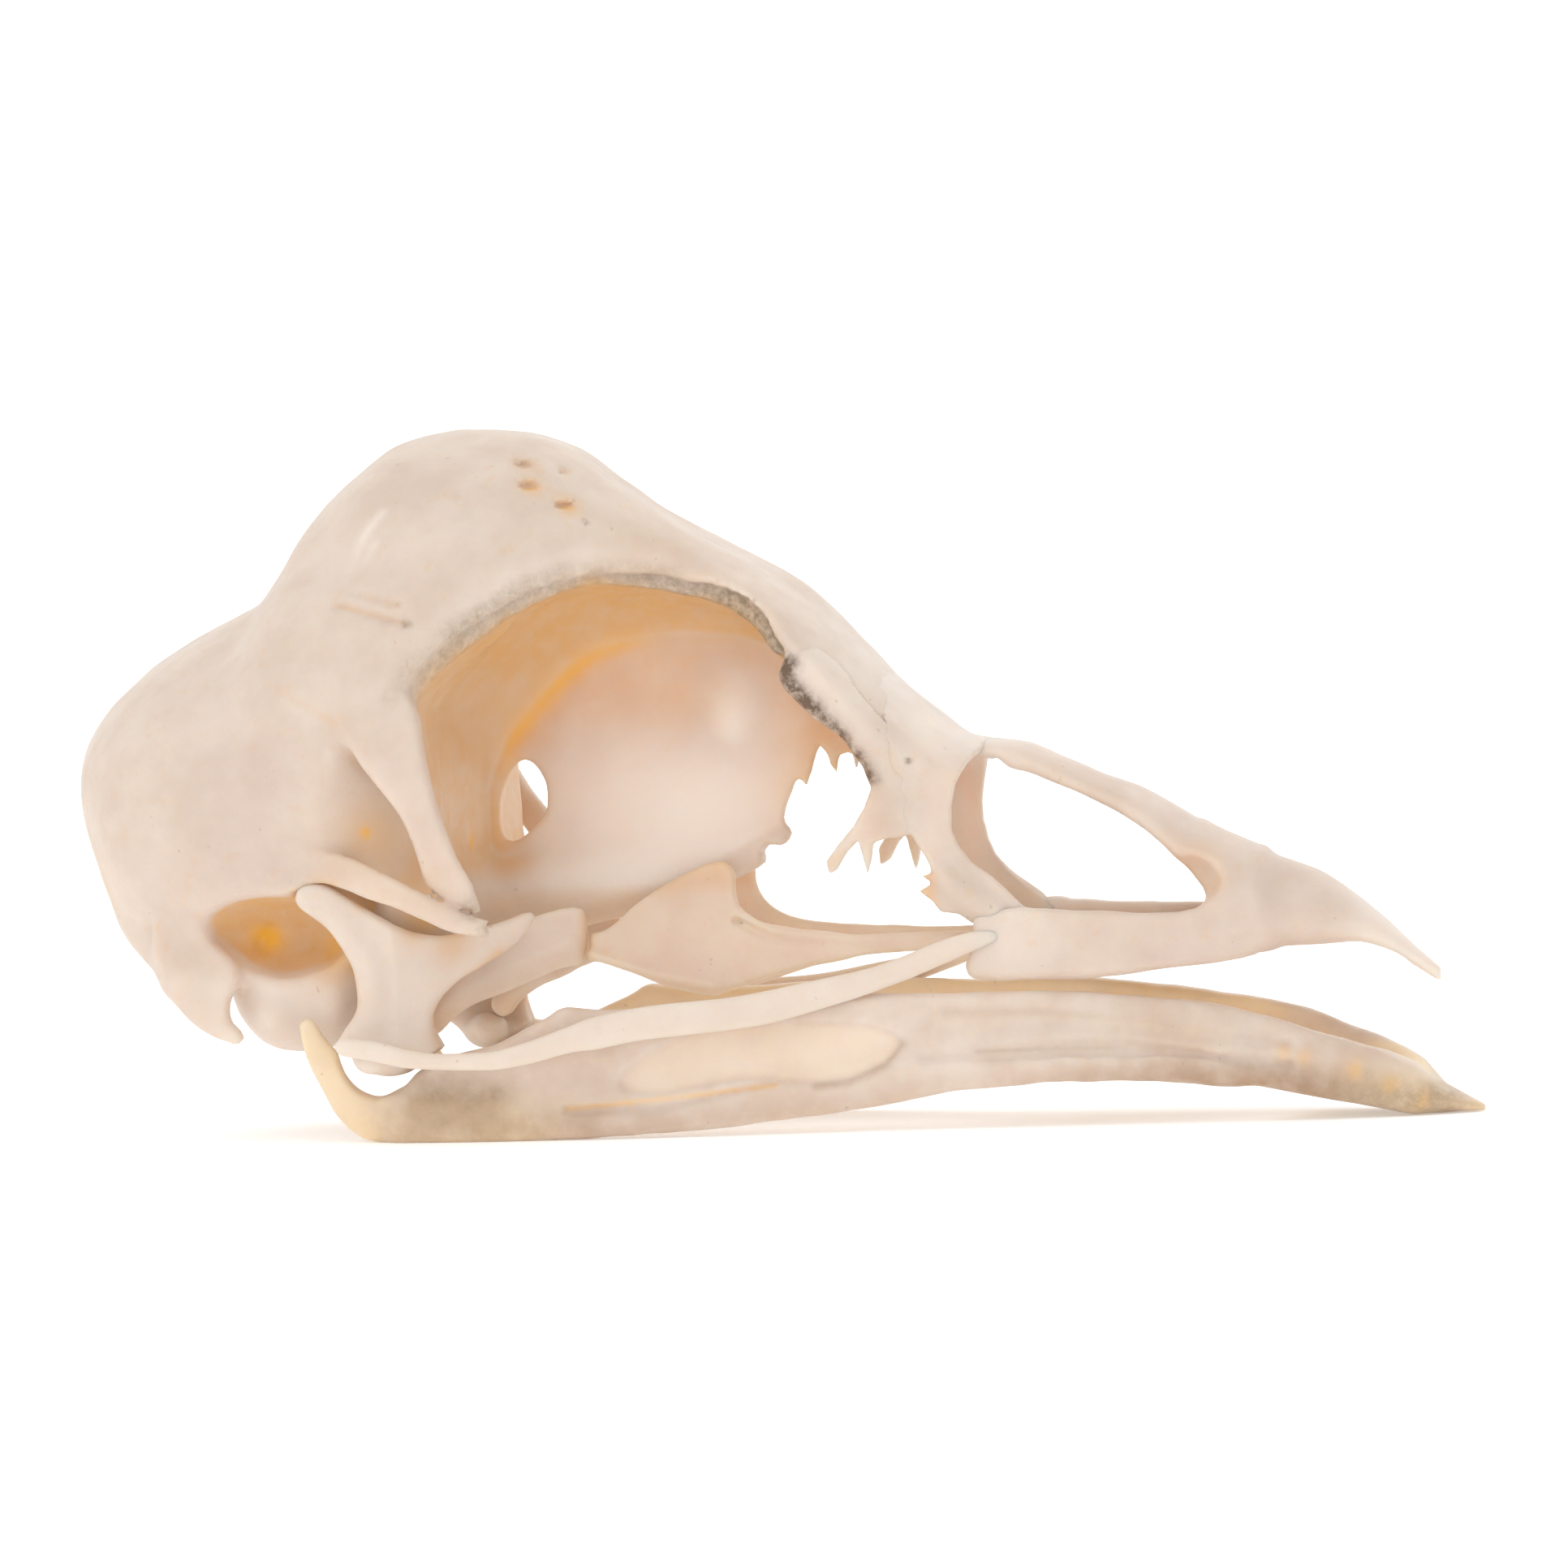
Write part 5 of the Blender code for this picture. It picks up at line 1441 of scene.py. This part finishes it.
def lower_jaw():
    """Both sides of the jaw and its tip: a leaning plate with a thick lower edge, a scooped tip, the
    curved heel and the joint's cup, then the outer side's window and furrows, and a flat underside."""
    bone = Bone((-23.8, -11.6, -0.3), (36.7, 0.0, 7.7), JAW_CELL)
    x, y, z = bone.everywhere()

    def middle(x, z):
        """The y of the plate's middle, which leans outwards by a tenth of the height."""
        return jaw_outer(x) + jaw_half(x, z) + 0.10 * (z - 3.5)

    bone.add(sheet(rounded(JAW_SIDE, 1), middle, jaw_half, 0.6), 0.1)
    bone.add(rod((
        (-14.0, -9.6, 1.4, 2.4, 2.4), (-8.0, -9.5, 1.5, 2.3, 1.9), (0.0, -8.3, 2.0, 2.0, 1.8),
        (8.0, -6.9, 3.0, 2.0, 1.8), (16.0, -5.8, 3.7, 2.4, 1.9), (24.0, -4.3, 3.3, 2.6, 2.0),
    )), 0.7)
    bone.add(body(JAW_TIP), 1.0)
    bone.cut(ball((25.6, 0.0, 5.0), (7.6, 3.6, 3.6)), 0.5)
    bone.cut(ball((30.5, 0.0, 4.3), (4.4, 1.7, 2.0)), 0.5)
    bone.add(rod((
        (-17.8, -9.7, 1.2, 2.5, 2.6), (-19.0, -9.6, 1.2, 2.4, 2.1), (-20.2, -9.75, 2.0, 2.2, 1.5),
        (-21.3, -9.85, 3.4, 1.8, 1.1), (-22.2, -9.8, 4.8, 1.4, 0.8), (-22.65, -9.75, 5.95, 0.95, 0.6),
    )), 0.6)
    bone.add(rod((
        (-17.6, -9.4, 1.9, 2.6, 2.4), (-17.0, -7.6, 2.3, 1.7, 2.0), (-16.6, -6.4, 3.0, 0.6, 0.9),
    ), side=(1.0, 0.0, 0.0), pieces=8), 0.6)
    bone.cut(ball((-18.9, -9.9, 4.4), (2.1, 3.9, 2.15)), 0.3)

    over = outline_distance(x, z, rounded(FENESTRA, 2))
    bone.field += 0.28 * fade(over, 0.25, -0.25) * (y < jaw_outer(x) + 0.6)
    for furrow in FURROWS:
        bone.cut(rod(furrow), 0.45)
    bone.mirror()
    bone.weather()
    x, y, z = bone.everywhere()
    bone.field = np.maximum(bone.field, 0.002 - z)
    return bone


def window_depth(x, z, none, full):
    """How far a place belongs to the jaw's window: fades in with the distance to its outline."""
    return fade(outline_distance(x, z, rounded(FENESTRA, 2)), none, full)


def jaw_amber_glow_and_shade(points):
    """Amber on the inner side, the heel, the rear, the tip's edge, in the window and along two lines:
    painted glow on the inner faces, and painted shade on the lower rear and along the two lines.
    """
    x, y, z = folded(points).T
    outer = np.interp(x, *np.array(JAW_OUTER).T * np.array([[1.0], [-1.0]]))
    # Painted glow on the inner faces
    inner = 0.85 * fade(outer - y, 0.9, 1.5) * fade(x, 34.5, 33.0)
    heel = 0.75 * fade(x, -17.0, -19.5)
    # Painted shade on the lower rear
    rear = 0.4 * fade(x, -7.0, -12.0) * fade(z, 3.4, 1.4)
    tip = 0.5 * fade(x, 27.0, 33.0) * fade(z, 3.6, 1.6)
    window = 0.35 * window_depth(x, z, 0.1, -0.3) * (y > 7.0)
    # Painted shade along two lines below the ridges
    lines = trails(points, (
        (0.35, 0.35, ((10.2, 7.4, 5.6), (15.0, 6.7, 5.7), (20.0, 5.9, 5.0), (24.0, 5.3, 4.4))),
        (0.3, 0.3, ((-10.5, 10.8, 4.9), (-8.0, 10.6, 4.9), (-5.5, 10.3, 4.8))),
    ))
    return strongest(inner, heel, rear, tip, window, lines)


def jaw_orange(points):
    """An orange line along the outer side's lower furrow, and orange spots near the tip."""
    line = trails(points * FLAT, (
        (0.13, 0.4, (
            (-9.0, 0.0, 1.6), (-6.4, 0.0, 1.8), (-4.0, 0.0, 2.0), (-1.3, 0.0, 2.25), (1.5, 0.0, 2.5),
        )),
    ))
    return np.maximum(line * (np.abs(points[:, 1]) > 8.0), spots(points, (
        (26.8, 4.8, 3.5, 0.4, 0.3), (27.8, 4.6, 3.2, 0.4, 0.35), (30.2, 3.8, 2.5, 0.45, 0.5),
        (31.9, 3.1, 1.6, 0.5, 0.5), (33.3, 2.4, 0.8, 0.5, 0.5),
    )))


def jaw_grey_and_shade(points):
    """Painted shade under the tip and in the hollow below the joint, and real dark spots near the tip."""
    x, z = points[:, 0], points[:, 2]
    under = 0.55 * fade(x, 23.0, 29.0) * fade(z, 2.3, 0.9) * fade(x, 36.2, 34.5)
    return np.maximum(under, spots(points, (
        (-15.6, 10.9, 2.6, 1.1, 0.45), (-14.0, 10.9, 2.2, 1.0, 0.45), (-12.6, 10.9, 2.5, 0.4, 0.6),
        (-15.6, 10.7, 1.0, 1.6, 0.25), (-13.4, 10.7, 0.9, 1.4, 0.25),
        (34.1, 2.0, 0.9, 0.8, 0.6), (32.0, 3.0, 1.2, 0.9, 0.35), (30.8, 3.6, 2.2, 0.35, 0.5),
        (29.2, 4.2, 1.9, 0.3, 0.4),
    )))


def jaw_brown_shade(points):
    """Painted shade in brown on the underside, strongest below the joint and towards the tip, along the
    furrows' lines, on the window's lower rim and low on the rear; and browner over the front half."""
    x, y, z = folded(points).T
    belly = smooth((-22.0, -12.0, 0.0, 12.0, 20.0, 28.0, 36.0), (1.8, 1.9, 1.6, 2.6, 3.4, 3.0, 1.6), x)
    strength = smooth(
        (-21.0, -18.0, -12.0, -6.0, 6.0, 18.0, 25.0, 34.0), (0.4, 1.0, 1.0, 0.5, 0.4, 0.7, 1.0, 0.9), x)
    # Painted shade along the furrows, the window's lower rim and low on the rear
    lines = trails(points * FLAT, (
        (0.3, 0.3, ((10.0, 0.0, 5.9), (15.0, 0.0, 5.8), (20.0, 0.0, 5.2), (27.0, 0.0, 3.9))),
        (0.12, 0.35, ((11.5, 0.0, 3.9), (16.0, 0.0, 4.0), (20.0, 0.0, 3.8))),
        (0.25, 0.6, ((7.8, 0.0, 4.4), (7.0, 0.0, 3.4), (5.2, 0.0, 2.6), (3.5, 0.0, 2.4))),
        (1.6, 1.3, ((-16.2, 0.0, 1.6), (-13.0, 0.0, 1.4))),
    ))
    # Painted shade on the underside
    under = strength * fade(z - belly, 0.9, -1.3)
    front = 0.25 * fade(x, 9.0, 22.0)
    return np.maximum.reduce([under, front, lines * (y > 3.5)])


def jaw_pale(points):
    """Paler in the window of the outer side."""
    x, y, z = folded(points).T
    return 0.35 * window_depth(x, z, 0.0, -0.4) * (y > 7.0)


finished(lower_jaw(), "lower_jaw_bone", (
    "mandible_right", "mandible_left", "mandible_tip",
), JAW, {
    "amber": jaw_amber_glow_and_shade, "orange": jaw_orange, "grey": jaw_grey_and_shade, "rose": jaw_brown_shade, "pale": jaw_pale,
})


# Floor, light and camera

def floor_and_backdrop():
    """A wide pale floor that curves up behind the skull: a straight run, a quarter circle and a wall,
    in metres. It shines a little, more with the distance from the skull."""
    steps, near, start, radius, height, half_width = 24, -1.2, 0.9, 0.5, 2.2, 2.5
    turn = np.linspace(0.0, np.pi / 2, steps)
    along = np.concatenate([[near], start + radius * np.sin(turn), [start + radius]])
    up = np.concatenate([[0.0], radius * (1 - np.cos(turn)), [height]])
    sides = np.array([-half_width, half_width])
    points = np.stack([
        np.repeat(sides[:, None], len(along), axis=1), np.repeat(along[None], 2, axis=0),
        np.repeat(up[None], 2, axis=0),
    ], axis=2).reshape(-1, 3)
    first = np.arange(len(along) - 1)
    faces = np.stack([first, first + len(along), first + len(along) + 1, first + 1], axis=1)
    floor = mesh_piece("pale_floor", points / MM, faces)
    material = bpy.data.materials.new("pale_floor_paper")
    material.use_nodes = True
    tree = material.node_tree
    shader = tree.nodes["Principled BSDF"]
    shader.inputs["Base Color"].default_value = (0.97, 0.97, 0.97, 1.0)
    shader.inputs["Roughness"].default_value = 0.9
    shader.inputs["Emission Color"].default_value = (1.0, 1.0, 1.0, 1.0)
    away = tree.nodes.new("ShaderNodeVectorMath")
    away.operation = "LENGTH"
    tree.links.new(tree.nodes.new("ShaderNodeTexCoord").outputs["Object"], away.inputs[0])
    shine = tree.nodes.new("ShaderNodeMapRange")
    for socket, value in (("From Min", 0.1), ("From Max", 0.9), ("To Min", 0.27), ("To Max", 0.34)):
        shine.inputs[socket].default_value = value
    tree.links.new(away.outputs["Value"], shine.inputs["Value"])
    tree.links.new(shine.outputs["Result"], shader.inputs["Emission Strength"])
    floor.data.materials.append(material)


def softbox(name, place, size, power, target=(0.0, 0.0, 0.016)):
    """A square lamp of that size in metres and power in watts, turned towards the skull's middle."""
    light = bpy.data.lights.new(name, "AREA")
    light.shape = "SQUARE"
    light.size = size
    light.energy = power
    lamp = bpy.data.objects.new(name, light)
    bpy.context.scene.collection.objects.link(lamp)
    lamp.location = place
    lamp.rotation_euler = (Vector(target) - Vector(place)).to_track_quat("-Z", "Y").to_euler()


def camera():
    """The photograph's camera: it looks at the target from its azimuth and elevation, and is rolled."""
    turn, rise, roll = (math.radians(a) for a in (CAMERA_AZIMUTH, CAMERA_ELEVATION, CAMERA_ROLL))
    back = Vector((math.sin(turn) * math.cos(rise), -math.cos(turn) * math.cos(rise), math.sin(rise)))
    level = Vector((math.cos(turn), math.sin(turn), 0.0))
    up = back.cross(level)
    right = level * math.cos(roll) - up * math.sin(roll)
    top = level * math.sin(roll) + up * math.cos(roll)
    lens = bpy.data.cameras.new("photo_camera")
    lens.sensor_width = SENSOR
    lens.lens = SENSOR * CAMERA_DISTANCE / MM * PIXELS_PER_MM / FRAME_PIXELS
    lens.clip_start = 0.01
    viewer = bpy.data.objects.new("photo_camera", lens)
    bpy.context.scene.collection.objects.link(viewer)
    place = Matrix((right, top, back)).transposed().to_4x4()
    place.translation = Vector(CAMERA_TARGET) + back * CAMERA_DISTANCE
    viewer.matrix_world = place
    bpy.context.scene.camera = viewer


def white_room():
    """Even white light from all around."""
    world = bpy.data.worlds.new("studio_white")
    world.use_nodes = True
    background = world.node_tree.nodes["Background"]
    background.inputs["Color"].default_value = (1.0, 1.0, 1.0, 1.0)
    background.inputs["Strength"].default_value = 0.7
    bpy.context.scene.world = world
    bpy.context.scene.view_settings.view_transform = "Standard"


floor_and_backdrop()
softbox("key_softbox", (-0.35, -0.45, 0.8), 0.8, 2.4)
softbox("front_softbox", (0.35, -0.85, 0.12), 0.5, 0.8)
softbox("rear_softbox", (0.2, 0.7, 0.7), 0.6, 1.0)
camera()
white_room()
